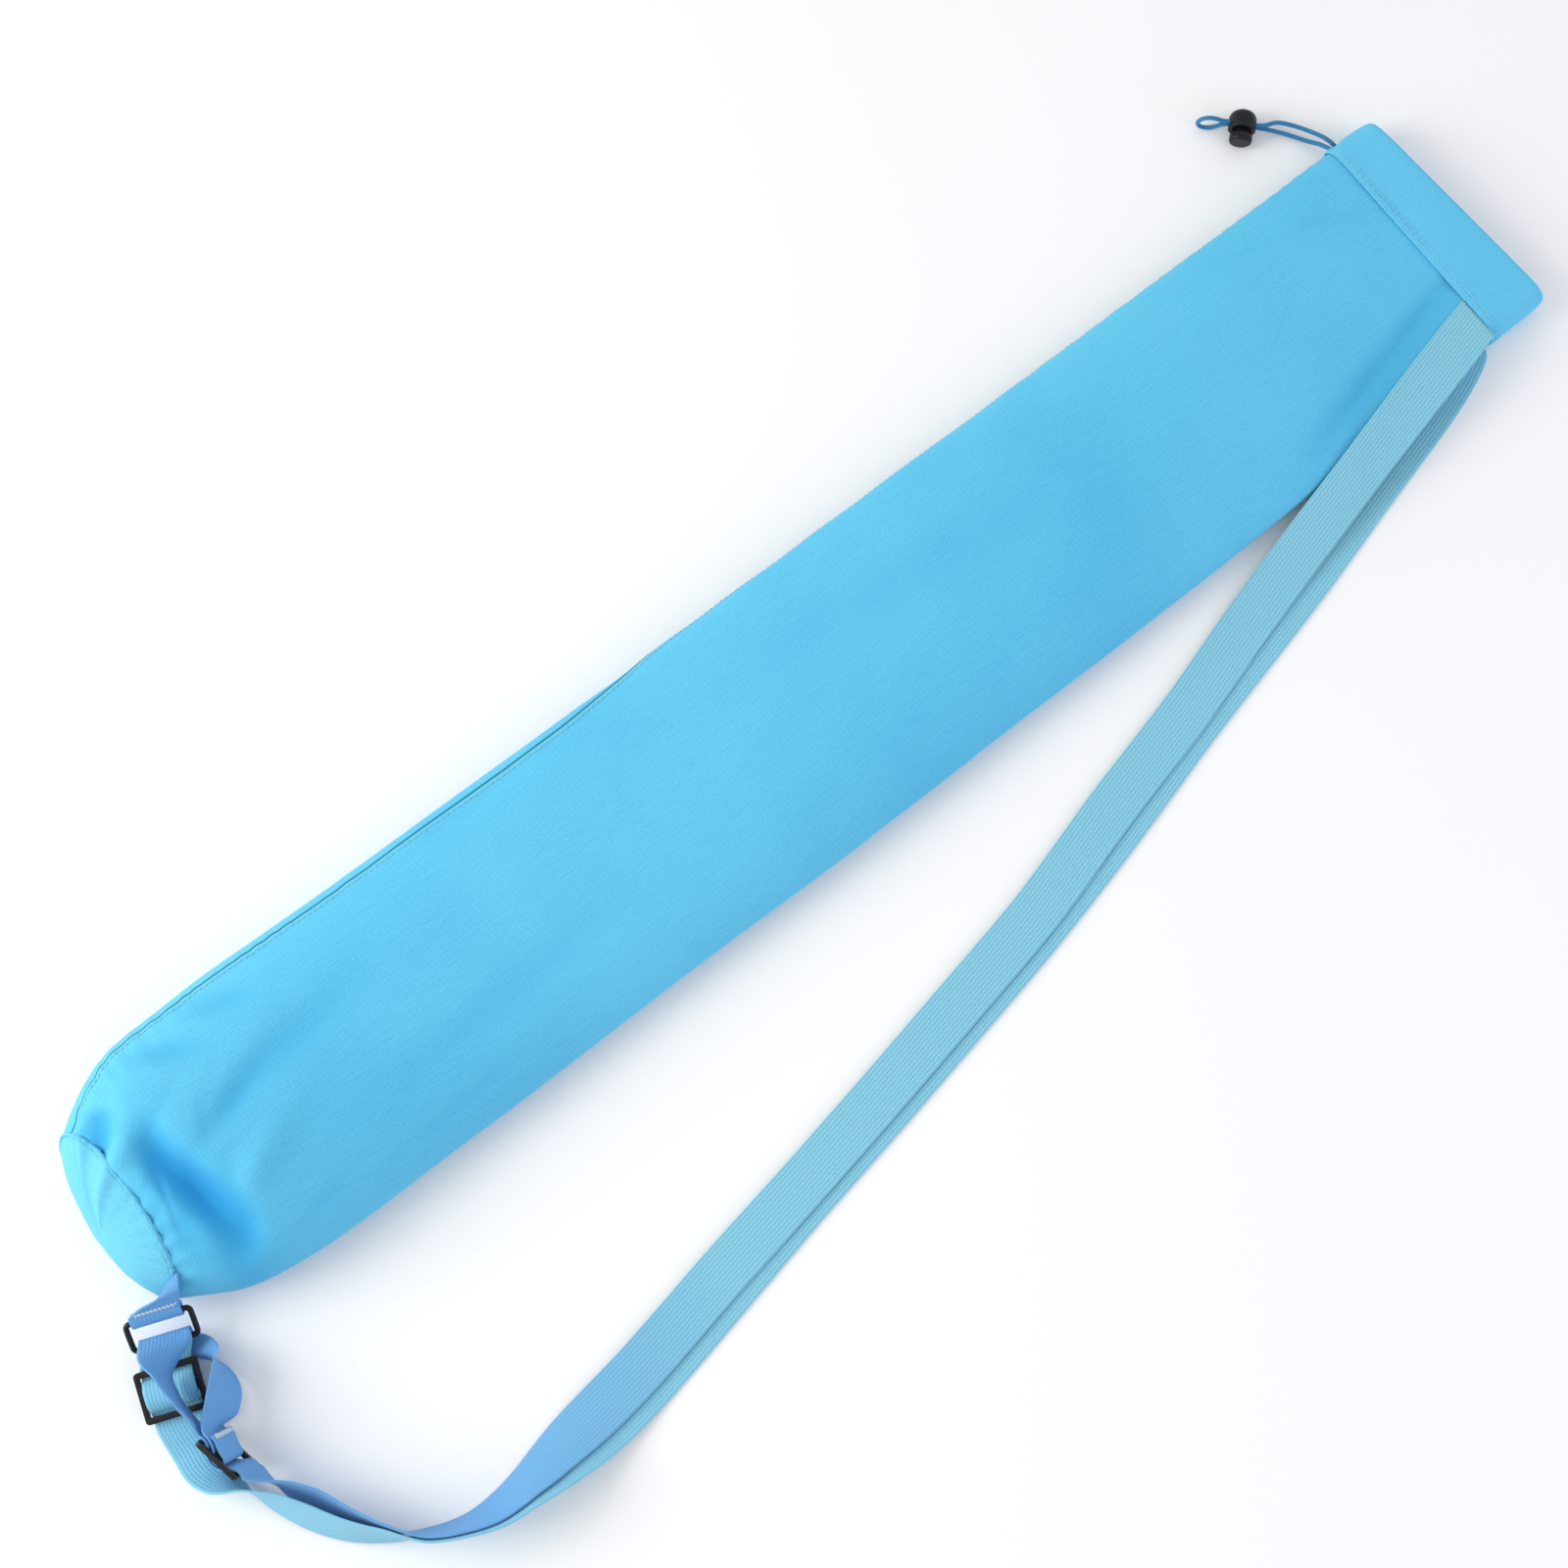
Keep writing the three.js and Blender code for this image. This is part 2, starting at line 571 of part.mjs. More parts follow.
function strapTab() {
  const rodV = (RING.length - RING.rod) / 2;
  const leg = TAB_ROWS.map((row) => named(TAB_COLUMNS, row)).map((row) => ({
    point: new THREE.Vector3(row.x, row.y, row.z),
    across: STRAP_RING.width.clone().lerp(TAB_SEAM, row.share).normalize(),
    width: row.width,
  }));
  const beyondRod = (ahead, side) => ({
    point: STRAP_RING.at(0, rodV + ahead, side * (ROD_GAP + 2 * FIT_GAP)),
    across: STRAP_RING.width,
  });
  const leads = TAB_LEADS.map((ahead) => beyondRod(ahead, 1));
  const tail = TAB_TAIL.map((ahead) => beyondRod(ahead, -1));
  return ribbon([...leg, ...leads, ...wrapRows(1, ROD_GAP, 1, 90), ...tail]);
}

// Hard pieces

function roundedRectangle(path, width, length, corner) {
  const x = width / 2;
  const y = length / 2;
  path.moveTo(-x + corner, -y);
  path.lineTo(x - corner, -y);
  path.absarc(x - corner, -y + corner, corner, -Math.PI / 2, 0, false);
  path.lineTo(x, y - corner);
  path.absarc(x - corner, y - corner, corner, 0, Math.PI / 2, false);
  path.lineTo(-x + corner, y);
  path.absarc(-x + corner, y - corner, corner, Math.PI / 2, Math.PI, false);
  path.lineTo(-x, -y + corner);
  path.absarc(-x + corner, -y + corner, corner, Math.PI, 1.5 * Math.PI, false);
  return path;
}

function slider(name, frame) {
  const outline = roundedRectangle(new THREE.Shape(), SLIDER.width, SLIDER.length, SLIDER.corner);
  const slotLength = SLIDER.length / 2 - SLIDER.bar - SLIDER.centreBar / 2;
  const slotWidth = SLIDER.width - 2 * SLIDER.endBar;
  const slotV = SLIDER.centreBar / 2 + slotLength / 2;
  for (const side of [-1, 1]) {
    const slot = roundedRectangle(new THREE.Path(), slotWidth, slotLength, SLIDER.slotCorner);
    const points = slot.getPoints(2).map((p) => new THREE.Vector2(p.x, p.y + side * slotV));
    outline.holes.push(new THREE.Path(points));
  }
  const plate = { depth: SLIDER.thick, bevelEnabled: false, curveSegments: 3 };
  const geometry = new THREE.ExtrudeGeometry(outline, plate);
  geometry.translate(0, 0, -SLIDER.thick / 2);
  const mesh = meshOf(name, mergeVertices(geometry, 1e-4), COLOURS.plastic);
  mesh.applyMatrix4(frame.matrix);
  return mesh;
}

function strapRing() {
  const sides = 8;
  const { rod, corner } = RING;
  const outline = roundedRectangle(new THREE.Path(), RING.width - rod, RING.length - rod, corner);
  const points = outline.getPoints(2).slice(0, -1);
  const rings = points.map((point, i) => {
    const before = points[(i + points.length - 1) % points.length];
    const after = points[(i + 1) % points.length];
    const out = new THREE.Vector2(after.y - before.y, before.x - after.x).normalize();
    return Array.from({ length: sides }, (_, k) => {
      const angle = (-2 * Math.PI * (k + 0.5)) / sides;
      const { x, y } = point.clone().addScaledVector(out, (rod / 2) * Math.cos(angle));
      return new THREE.Vector3(x, y, (rod / 2) * Math.sin(angle));
    });
  });
  const mesh = meshOf('strap_ring', loftLoop(rings), COLOURS.plastic);
  mesh.applyMatrix4(STRAP_RING.matrix);
  return mesh;
}

// Drawcord and its lock

function drawcord() {
  const points = CORD_ROUTE.map((p) => new THREE.Vector3(...p));
  const route = new THREE.CatmullRomCurve3(points, false, 'centripetal');
  const round = new THREE.Shape();
  for (let k = 0; k < CORD_SIDES; k++) {
    const angle = (2 * Math.PI * k) / CORD_SIDES;
    const x = (CORD_DIAMETER / 2) * Math.cos(angle);
    const y = (CORD_DIAMETER / 2) * Math.sin(angle);
    if (k === 0) round.moveTo(x, y);
    else round.lineTo(x, y);
  }
  return new THREE.ExtrudeGeometry(round, { steps: CORD_STEPS, extrudePath: route, bevelEnabled: false });
}

function lathe(profile, segments) {
  const geometry = new THREE.LatheGeometry(profile.map(([r, y]) => new THREE.Vector2(r, y)), segments);
  return geometry.rotateZ(-Math.PI / 2);
}

// A passage for both strands, across the lock's axis and taller than it is wide.
function lockPassage(from, to) {
  const passage = new THREE.BoxGeometry(to - from, 3 * LOCK.diameter, LOCK.holeHigh);
  return passage.translate((from + to) / 2, 0, 0);
}

// The barrel runs along +X from its round end to its rim, with the rim at x = 0.
function lockBarrel() {
  const radius = LOCK.diameter / 2;
  const { length, edge, bore, boreDepth, holeFromRim, holeWide } = LOCK;
  const body = lathe([
    [0, -length], [radius * 0.52, -length + 0.35], [radius * 0.83, -length + edge],
    [radius, -length * 0.52], [radius * 0.97, -length * 0.2], [radius * 0.9, 0],
    [bore / 2, 0], [bore / 2, -boreDepth], [0, -boreDepth],
  ], LOCK_SIDES);
  const passage = lockPassage(-holeFromRim - holeWide / 2, -holeFromRim + holeWide / 2);
  return geometryFrom(solidOf(body).subtract(solidOf(passage)));
}

function lockPlunger() {
  const radius = LOCK.cap / 2;
  const { stem, stemInside, restGap, capLength, holeFromRim, holeWide, travel } = LOCK;
  const body = lathe([
    [0, -stemInside], [stem / 2, -stemInside], [stem / 2, restGap], [radius, restGap],
    [radius, restGap + capLength * 0.45], [radius * 0.8, restGap + capLength * 0.85],
    [0, restGap + capLength],
  ], LOCK_SIDES);
  const passage = lockPassage(-holeFromRim - holeWide / 2, -holeFromRim + holeWide / 2 + travel);
  return geometryFrom(solidOf(body).subtract(solidOf(passage)));
}

function cordLock() {
  const lock = new THREE.Group();
  lock.add(meshOf('cord_lock_barrel', lockBarrel(), COLOURS.plastic));
  lock.add(meshOf('cord_lock_plunger', lockPlunger(), COLOURS.plastic));
  const forward = new THREE.Vector3(Math.cos(LOCK_TURN), Math.sin(LOCK_TURN), 0);
  lock.rotation.z = LOCK_TURN;
  lock.position.copy(LOCK_CENTRE).addScaledVector(forward, LOCK.holeFromRim);
  return lock;
}

const bag = new THREE.Group();
bag.add(
  meshOf('body_panel', bodyPanel(), COLOURS.cloth),
  meshOf('base_panel', basePanel(), COLOURS.base),
  meshOf('drawcord_casing', drawcordCasing(), COLOURS.casing),
  meshOf('front_strap', frontStrap(), COLOURS.webbing),
  meshOf('back_strap', backStrap(), COLOURS.webbing),
  meshOf('strap_tab', strapTab(), COLOURS.webbing),
  strapRing(),
  slider('front_slider', FRONT_SLIDER),
  slider('back_slider', BACK_SLIDER),
  meshOf('drawcord', drawcord(), COLOURS.cord),
  cordLock(),
);

export default bag;
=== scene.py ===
"""Looks of a long drawstring mat bag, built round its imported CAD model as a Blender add-on."""

import math

import bpy
import numpy as np
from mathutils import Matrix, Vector


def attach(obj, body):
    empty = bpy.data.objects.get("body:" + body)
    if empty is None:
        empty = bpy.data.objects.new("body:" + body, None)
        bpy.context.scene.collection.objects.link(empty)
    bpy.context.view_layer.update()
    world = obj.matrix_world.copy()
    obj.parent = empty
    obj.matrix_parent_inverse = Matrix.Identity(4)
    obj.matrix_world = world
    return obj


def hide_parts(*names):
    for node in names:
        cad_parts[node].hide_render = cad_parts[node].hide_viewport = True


bl_info = {
    "name": "Mat Bag Looks",
    "version": (1, 0, 0),
    "blender": (4, 5, 0),
    "location": "View3D > Sidebar > Mat Bag",
    "description": "Dresses the CAD model of a drawstring mat bag in cloth, webbing, cord and plastic",
    "category": "Object",
}

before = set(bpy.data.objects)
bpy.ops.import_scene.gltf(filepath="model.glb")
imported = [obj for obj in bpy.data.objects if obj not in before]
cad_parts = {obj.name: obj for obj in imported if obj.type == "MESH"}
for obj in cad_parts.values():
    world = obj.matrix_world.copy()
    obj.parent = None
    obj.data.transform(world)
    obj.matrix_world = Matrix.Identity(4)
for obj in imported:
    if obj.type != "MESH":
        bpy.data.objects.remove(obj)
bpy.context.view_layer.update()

MM = 0.001

# Cloth tube: the same sections as the CAD model, in millimetres.
BODY_COLUMNS = ("x", "lean", "plus", "minus", "top", "edge", "lift", "square", "steps")
BODY_ROWS = np.array([
    (-426, 0.56, 47, -46, 46, 19, 0.6, 2.3, 1),
    (-417, 0.5, 53, -51.5, 51, 19, 0.2, 2.3, 2),
    (-405, 0.4, 59.5, -57.5, 54, 18, 0, 2.3, 2),
    (-392, 0.28, 64.5, -63, 55.5, 17, 0, 2.3, 2),
    (-375, 0.14, 68.4, -67.2, 55.5, 16, 0, 2.2, 2),
    (-352, 0.04, 70, -70, 52.5, 15, 0, 2.1, 2),
    (-320, 0, 71.6, -71.2, 47.5, 14, 0, 2, 2),
    (-280, 0, 71.4, -70.7, 42.5, 13, 0, 2, 2),
    (-230, 0, 70.8, -70.6, 38.5, 12, 0, 2, 2),
    (-140, 0, 70.3, -70.5, 34, 11, 0, 2, 3),
    (0, 0, 70.2, -70.5, 31, 10.5, 0, 2, 3),
    (150, 0, 70.3, -69.6, 28, 10, 0, 2.1, 3),
    (245, 0, 70.5, -68.4, 24.5, 9.5, 0.3, 2.3, 2),
    (300, 0, 70.7, -66.4, 21.8, 9.5, 1.4, 3, 2),
    (345, 0, 70.8, -63.4, 19.6, 9.6, 1.7, 5, 2),
    (375, 0, 70.9, -61, 18.4, 9.8, 1.7, 9, 1),
    (396, 0, 70.9, -59.6, 18, 9.85, 1.7, 14, 1),
])
# How far the tube spreads on the floor, how soon its folds start from its edges, the depth that sets how much
# painted shade a fold gets, and the height where that painted shade starts and how much higher it is full.
FLOOR_SPREAD = 3
FOLD_FADE = 1.6
FOLD_SHADE = 5
FOLD_ABOVE = (6, 10)

# Dents and ridges in the upper cloth: x, y, turn in degrees, long, wide, depth. The folds are in the CAD
# model too, and the finer creases only show here.
FOLD_ROWS = np.array([
    (-375, -19, 100, 24, 9, 15),
    (-381, 8, 70, 16, 8, 6),
    (-398, 33, 35, 16, 7, 5),
    (-401, 17, 20, 12, 5, -3),
    (-391, 46, -35, 20, 6, -3.5),
    (-369, -43, 60, 22, 9, 5),
    (-346, -26, 25, 26, 8, -3),
    (-349, 44, -30, 18, 6, 2.5),
    (-316, 50, -20, 16, 6, 2),
    (-338, 6, 20, 26, 6, 2.4),
    (-300, 14, 8, 40, 10, 1.6),
    (-212, -30, 4, 60, 10, 1.2),
    (60, 22, -3, 90, 14, 0.8),
    (362, -33, 12, 40, 5.5, 2.2),
    (318, -44, 14, 30, 7, 2),
])
CREASE_ROWS = np.array([
    (-391, -30, 96, 17, 7, 3),
    (-376, -7, 107, 15, 4.5, 2.6),
    (-398, 29, 62, 13, 5.5, 2.6),
    (-397, 13, 40, 8, 5, -2.4),
    (-381, -47, 70, 15, 7, 2),
    (-352, 10, 62, 11, 1.3, 0.7),
    (-341, 20, 48, 14, 1.6, 0.6),
    (-366, 24, 30, 18, 2.2, 0.8),
    (-388, -8, 78, 9, 1.8, 1.1),
    (-394, -22, 66, 10, 1.6, -0.9),
    (-397, 4, 40, 7, 1.5, 0.9),
    (-405, 26, 20, 6, 1.6, 0.9),
    (-331, 61, -12, 20, 2.2, 0.8),
    (-296, 62, -6, 26, 2.4, 0.6),
    (-384, 57, -28, 15, 2, 0.9),
    (-330, -56, 10, 24, 2.6, 0.7),
    (-252, -58, 3, 42, 2.8, 0.6),
    (-180, 58, 2, 60, 3, 0.5),
    (376, -26, 12, 26, 2, 0.8),
    (350, -43, 15, 34, 2.2, 0.9),
    (372, 40, -24, 18, 2.4, 0.5),
    (330, 52, -14, 26, 2.6, 0.5),
    (382, 12, 60, 12, 2.4, 0.35),
    (384, 58, -40, 9, 2, 0.5),
])

# Slow ripples of the tube: each wave's length in x and y, height, seed and octaves, and their fades near the
# floor and the casing. Puckers beside a seam: their height, reach, pitch or count, and drift.
RIPPLE_ROWS = ((26, 15, 1, 1, 3), (70, 34, 2, 3, 2))
RIPPLE_FADE = {"floor": (1, 6), "casing": (0, 1.5)}
SIDE_PUCKER = {"height": 0.3, "reach": 0.3, "pitch": 9, "drift": 2.5, "drift_pitch": 23}
CASING_PUCKER = {"height": 0.4, "reach": 8, "pitch": 8, "drift": 2, "drift_pitch": 11}
RIM_PUCKER = {"height": 0.6, "reach": 11, "count": 23, "drift": 2, "drift_count": 3}

# Side seam: the angles round the tube where it runs, from the base and past its turn over the edge, and the
# x where that turn starts and its length. The lip is the seam's profile, and a dark strip of painted shadow
# lies beside it.
SIDE_SEAM = {"inside": 0.46, "over": -0.12, "turn_x": -110, "turn_long": 130}
SEAM_LIP = np.array([(0.9, -0.4), (0.9, 0.35), (0.3, 0.65), (-0.5, 0.5), (-1.3, 0.12), (-1.9, -0.4)])
SEAM_SHADOW_STRIP = {"radius": 1.0, "sides": 8, "squash": 0.35}
SHADOW_STRIP_BESIDE = 1.7
SEAM_STITCH = {"length": 2.4, "gap": 0.9, "radius": 0.2, "lift": 0.2}
STITCH_BESIDE = 1.25

# One stitch: how it bows from end to end, in radii of its thread, and how the thread thins at its ends.
STITCH_BOW = np.array([-0.5, 0.35, 0.6, 0.35, -0.5])
STITCH_TAPER = np.array([0.6, 1, 1, 1, 0.6])

# Casing: where its seam is, how far the tube's cloth goes on under it, and rows of x past the seam with the
# offsets of its outer and inner wall.
SEAM_X = 396
FIT_GAP = 0.3
TUCK = (1.2, 2.4)
CASING_ROWS = np.array([
    (0, 1.6, -2.4),
    (2.5, 1.65, -3.8),
    (9, 1.6, -4.6),
    (17, 1.6, -4.7),
    (25, 1.4, -4.5),
    (30, 1, -3.9),
    (32.5, 0.1, -2.6),
])
CASING_FOLD = (32.9, -1.2)
CASING_SKEW = 0.0018
CASING_START_Y = 7.5
CASING_STITCH = {"casing_stitches": 2.4, "casing_second_stitches": 4.2}
CASING_STITCH_GAP = 0.8
CASING_STITCH_LIFT = 0.05
CASING_RIPPLE = {"height": 0.3, "pitch": (14, 9, 8), "fade": (0, 6)}
SLIT = {"x": 402.9, "width": 9.6, "low": 3.2, "high": 14.8, "inset": 2.6}

# Base: how far it swells, its centre in y and z, its slow puckers, the gathers beside its seam, and the welt
# round it.
BASE_BULGE = 11
BASE_POWER = 2.4
BASE_LIFT = 0.1
BASE_CENTRE = (-4, 17)
BASE_PUCKER = {"count": 5, "depth": 1.6, "phase": 0.7}
BASE_GATHER = {"count": 26, "depth": 0.55}
BASE_SAG = 0.7
WELT = {
    "out": 0.15, "sway": 0.25, "along": 0.6, "lowest": 0.9, "pucker": 0.16, "points": 8, "half": (1.25, 0.85),
}

# Webbing: how far its face lies below the selvedges, how wide these are, and the bar tacks at the sewn ends.
WEB_HOLLOW = 0.08
SELVEDGE_WIDE = 1.1
TACK = {
    "from_end": 2.4, "fold": 22, "fold_share": 0.45, "from_edge": 2, "sway": 1.3, "radius": 0.3, "lift": 0.1,
}

# Drawcord route, out of the casing, through the lock and round inside the casing.
CORD_ROUTE = np.array([
    (413.3, -58.2, 8.5), (413.2, -57.2, 5.9), (413, -54.9, 3.9), (412.7, -51.5, 3.2), (411, -36, 3.2),
    (405.6, 40, 3.2), (404.9, 65, 3.3), (404.8, 69.2, 5.5), (404.6, 73, 8), (403.4, 79.6, 8),
    (401, 86.6, 6.4), (396.6, 95.4, 5), (390, 102.2, 6.2), (382, 105, 8), (374.3, 112.3, 8.65),
    (369.3, 117.5, 8.65), (366.5, 119.8, 9.2), (364, 121.7, 11.15), (361.3, 123.9, 12.2),
    (358.5, 126.15, 11.25), (356.85, 127.5, 8.35), (356.95, 127.4, 4.7), (358.8, 125.95, 1.95),
    (361.6, 123.7, 1.25), (364.2, 121.6, 2.6), (366.4, 119.8, 5), (369.15, 117.6, 5.95),
    (374.3, 112.3, 5.95), (381.4, 104.9, 5.6), (387.5, 99.4, 3.4),
    (392.6, 93, 2.6), (396.6, 85.6, 3.6), (399.2, 79, 7), (400.2, 73.6, 10), (400.6, 69.8, 12.5),
    (401, 65.6, 15.1), (402, 58, 16.3), (411, -36, 16.4), (412.7, -51, 16.3), (413, -54.1, 15.5),
    (413.2, -56.7, 13.5), (413.3, -58.1, 11),
], float)
CORD_DIAMETER = 2.3

# Cord lock: its sizes in millimetres, the centre of the barrel's rim and the way to the plunger's cap.
LOCK = {
    "radius": 7.25, "length": 11, "edge": 4.8, "bore": 4.8, "bore_depth": 9.4, "hole": 3, "hole_high": 5.6,
    "hole_at": 3.9, "rest": 2.8, "cap": 6, "cap_length": 4.2, "stem": 4.5, "stem_length": 9.4, "travel": 2.5,
    "rim_edge": 0.6, "cap_edge": 1.5, "cap_rim": 0.5, "soft": 0.22,
}
LOCK_AXIS = Vector((-0.7218, -0.6921, 0)).normalized()
LOCK_RIM = Vector((374.3, 112.3, 7.3)) + LOCK_AXIS * LOCK["hole_at"]

# Camera at the photograph's angle, looking at a point on the floor.
LOOK_AT = Vector((-0.03387, -0.02182, 0))
CAMERA = {"azimuth": -37.586, "elevation": 77, "distance": 1.3309, "field": 32.82}

# Stage: the floor lies a little below the bag, in metres. Each light has a place, a size and a colour.
FLOOR = {"size": 80, "drop": 0.0003}
KEY_LIGHT = ((-1.45, 0.95, 0.9), 1.3, (1, 0.995, 0.97))
FILL_LIGHT = ((0.7, -1.4, 0.7), 0.9, (0.7, 0.66, 1))
SKY_COLOUR = (0.97, 0.985, 1, 1)

# Angles in degrees past which an edge of a moulding is shaded or rounded as an edge. In millimetres, how far
# the sliders' edges are rounded, and how near two places on the lock count as one.
SHADE_ANGLE = 38
EDGE_ANGLE = 50
SLIDER_EDGE = 0.45
NEAR = 0.02

SEED = 7


# Lines and sheets

def smooth_line(points, per_span):
    """Dense points along a centripetal Catmull-Rom line through the given ones."""
    points = np.asarray(points, float)
    padded = np.vstack([2 * points[0] - points[1], points, 2 * points[-1] - points[-2]])
    spans = []
    for p0, p1, p2, p3 in zip(padded, padded[1:], padded[2:], padded[3:]):
        d0, d1, d2 = (max(math.sqrt(np.linalg.norm(b - a)), 1e-4) for a, b in ((p0, p1), (p1, p2), (p2, p3)))
        start = ((p1 - p0) / d0 - (p2 - p0) / (d0 + d1) + (p2 - p1) / d1) * d1
        end = ((p2 - p1) / d1 - (p3 - p1) / (d1 + d2) + (p3 - p2) / d2) * d1
        t = (np.arange(per_span) / per_span)[:, None]
        curve = -3 * p1 + 3 * p2 - 2 * start - end
        twist = 2 * p1 - 2 * p2 + start + end
        spans.append(p1 + start * t + curve * t**2 + twist * t**3)
    return np.vstack([*spans, points[-1]])


def lengths_along(points):
    """Distance from the first point to each point of a line."""
    steps = np.linalg.norm(np.diff(points, axis=0), axis=1)
    return np.concatenate([[0], np.cumsum(steps)])


def even_line(points, step):
    """Points spaced evenly along a line, about a step apart. Columns past the third go with them."""
    along = lengths_along(points[:, :3])
    wanted = np.linspace(0, along[-1], max(2, round(along[-1] / step) + 1))
    return np.column_stack([np.interp(wanted, along, points[:, i]) for i in range(points.shape[1])])


def unit(vectors):
    """Vectors of length one."""
    return vectors / np.maximum(np.linalg.norm(vectors, axis=-1, keepdims=True), 1e-12)


def ramp(value, start, length):
    """A share that rises from 0 at the start to 1 a length further on."""
    return np.clip((value - start) / length, 0, 1)


def bell(distance, height, reach):
    """A rounded rise that fades with the distance."""
    return height * np.exp(-(distance / reach) ** 2)


def wave_noise(u, v, seed, octaves=3):
    """Smooth repeatable noise from a few crossed waves, about -1 to 1."""
    rng = np.random.default_rng(seed)
    total = np.zeros(np.broadcast(u, v).shape)
    for octave in range(octaves):
        for _ in range(4):
            angle, phase = rng.uniform(0, 2 * np.pi, 2)
            scale = 2**octave * rng.uniform(0.7, 1.3)
            total += np.sin((u * np.cos(angle) + v * np.sin(angle)) * scale + phase) / (4 * 1.6**octave)
    return total


def grid_faces(rows, columns, keep=None):
    """Quads between rings of points as vertex numbers, with each corner's row and unwrapped column."""
    faces, corners = [], []
    for i in range(rows - 1):
        for j in range(columns):
            if keep is not None and not keep[i, j]:
                continue
            quad = ((i, j), (i, j + 1), (i + 1, j + 1), (i + 1, j))
            faces.append(tuple(r * columns + c % columns for r, c in quad))
            corners.append(quad)
    return faces, corners


def vertex_normals(points, faces):
    """Mean face normal at each vertex."""
    normals = np.zeros_like(points)
    for size in (3, 4):
        chosen = np.array([f for f in faces if len(f) == size])
        if not len(chosen):
            continue
        a, b, c, d = (points[chosen[:, k]] for k in (0, 1, 2, size - 1))
        cross = np.cross(c - a, d - b) if size == 4 else np.cross(b - a, c - a)
        for k in range(size):
            np.add.at(normals, chosen[:, k], cross)
    return unit(normals)


def thicken(points, faces, uvs, depth):
    """A closed sheet: the given face, a copy set in by the depth, and strips along the open edges."""
    count = len(points)
    inner = points - vertex_normals(points, faces) * depth
    rims = {}
    for face, uv in zip(faces, uvs):
        for k, a in enumerate(face):
            b = face[(k + 1) % len(face)]
            if rims.pop((b, a), None) is None:
                rims[a, b] = (uv[k], uv[(k + 1) % len(face)])
    all_faces = [*faces, *(tuple(count + v for v in reversed(face)) for face in faces)]
    all_uvs = [*uvs, *(tuple(reversed(uv)) for uv in uvs)]
    for (a, b), (at_a, at_b) in rims.items():
        all_faces.append((b, a, count + a, count + b))
        all_uvs.append((at_b, at_a, at_a, at_b))
    return np.vstack([points, inner]), all_faces, all_uvs


def tube_faces(line, profile, closed=False):
    """Faces and UVs of a tube with a ring of profile points at each point of a line. An open one has caps."""
    rows, columns = len(line), len(profile)
    faces, corners = grid_faces(rows + closed, columns)
    faces = [tuple(v % (rows * columns) for v in face) for face in faces]
    along = lengths_along(np.vstack([line, line[:1]]) if closed else line)
    around = lengths_along(np.vstack([profile, profile[:1]]))
    uvs = [tuple((along[r], around[c]) for r, c in quad) for quad in corners]
    if not closed:
        faces += [tuple(reversed(range(columns))), tuple((rows - 1) * columns + c for c in range(columns))]
        uvs += [tuple((along[0], around[c]) for c in range(columns))] * 2
    return faces, uvs


def sweep(line, profile, up, closed=False, scales=None):
    """A tube of the given 2-D profile along a line. up gives the profile's second axis at each point."""
    ahead = np.gradient(line, axis=0)
    if closed:
        ahead = np.roll(line, -1, axis=0) - np.roll(line, 1, axis=0)
    ahead = unit(ahead)
    side = unit(np.cross(up, ahead))
    over = np.cross(ahead, side)
    scales = np.ones(len(line)) if scales is None else scales
    rings = line[:, None] + scales[:, None, None] * (
        profile[None, :, :1] * side[:, None] + profile[None, :, 1:] * over[:, None]
    )
    return rings.reshape(-1, 3), *tube_faces(line, profile, closed)


def minimal_up(line, start):
    """An up direction that turns no more than the line does."""
    ahead = unit(np.gradient(line, axis=0))
    up = np.array(start, float)
    result = []
    for direction in ahead:
        up = up - direction * (up @ direction)
        up /= np.linalg.norm(up)
        result.append(up)
    return np.array(result)


def circle(radius, sides, squash=1.0):
    """An anticlockwise round profile."""
    angles = 2 * np.pi * np.arange(sides) / sides
    return np.column_stack([radius * np.cos(angles), radius * squash * np.sin(angles)])


def make_piece(name, points, faces, uvs, material, slot):
    """A new mesh object from points in millimetres and UVs in millimetres, riding on the bag."""
    mesh = bpy.data.meshes.new(name)
    mesh.from_pydata((np.asarray(points) * MM).tolist(), [], faces)
    layer = mesh.uv_layers.new(name="Cut")
    layer.data.foreach_set("uv", (np.array([c for uv in uvs for c in uv]) * MM).ravel())
    mesh.materials.append(material)
    mesh.validate()
    piece = bpy.data.objects.new(name, mesh)
    bpy.context.scene.collection.objects.link(piece)
    mesh.shade_smooth()
    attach(piece, "bag")
    return piece


def merged(parts):
    """Several point, face and UV sets as one."""
    points, faces, uvs, start = [], [], [], 0
    for part_points, part_faces, part_uvs in parts:
        points.append(part_points)
        faces += [tuple(start + v for v in face) for face in part_faces]
        uvs += part_uvs
        start += len(part_points)
    return np.vstack(points), faces, uvs


def select_only(piece):
    """Selects one object and makes it active."""
    bpy.ops.object.select_all(action="DESELECT")
    piece.select_set(True)
    bpy.context.view_layer.objects.active = piece


def round_off(piece, levels):
    """Smooths a piece by subdivision."""
    smooth = piece.modifiers.new("Round", "SUBSURF")
    smooth.levels = levels
    smooth.render_levels = levels
    bpy.ops.object.modifier_apply(modifier=smooth.name)


def finish_moulding(piece, node, body):
    """Plastic, smooth shading and the body of a moulded piece that replaces a CAD node, which is hidden."""
    select_only(piece)
    piece.data.materials.clear()
    piece.data.materials.append(MATERIALS["plastic"])
    bpy.ops.object.shade_smooth_by_angle(angle=math.radians(SHADE_ANGLE))
    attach(piece, body)
    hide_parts(node)


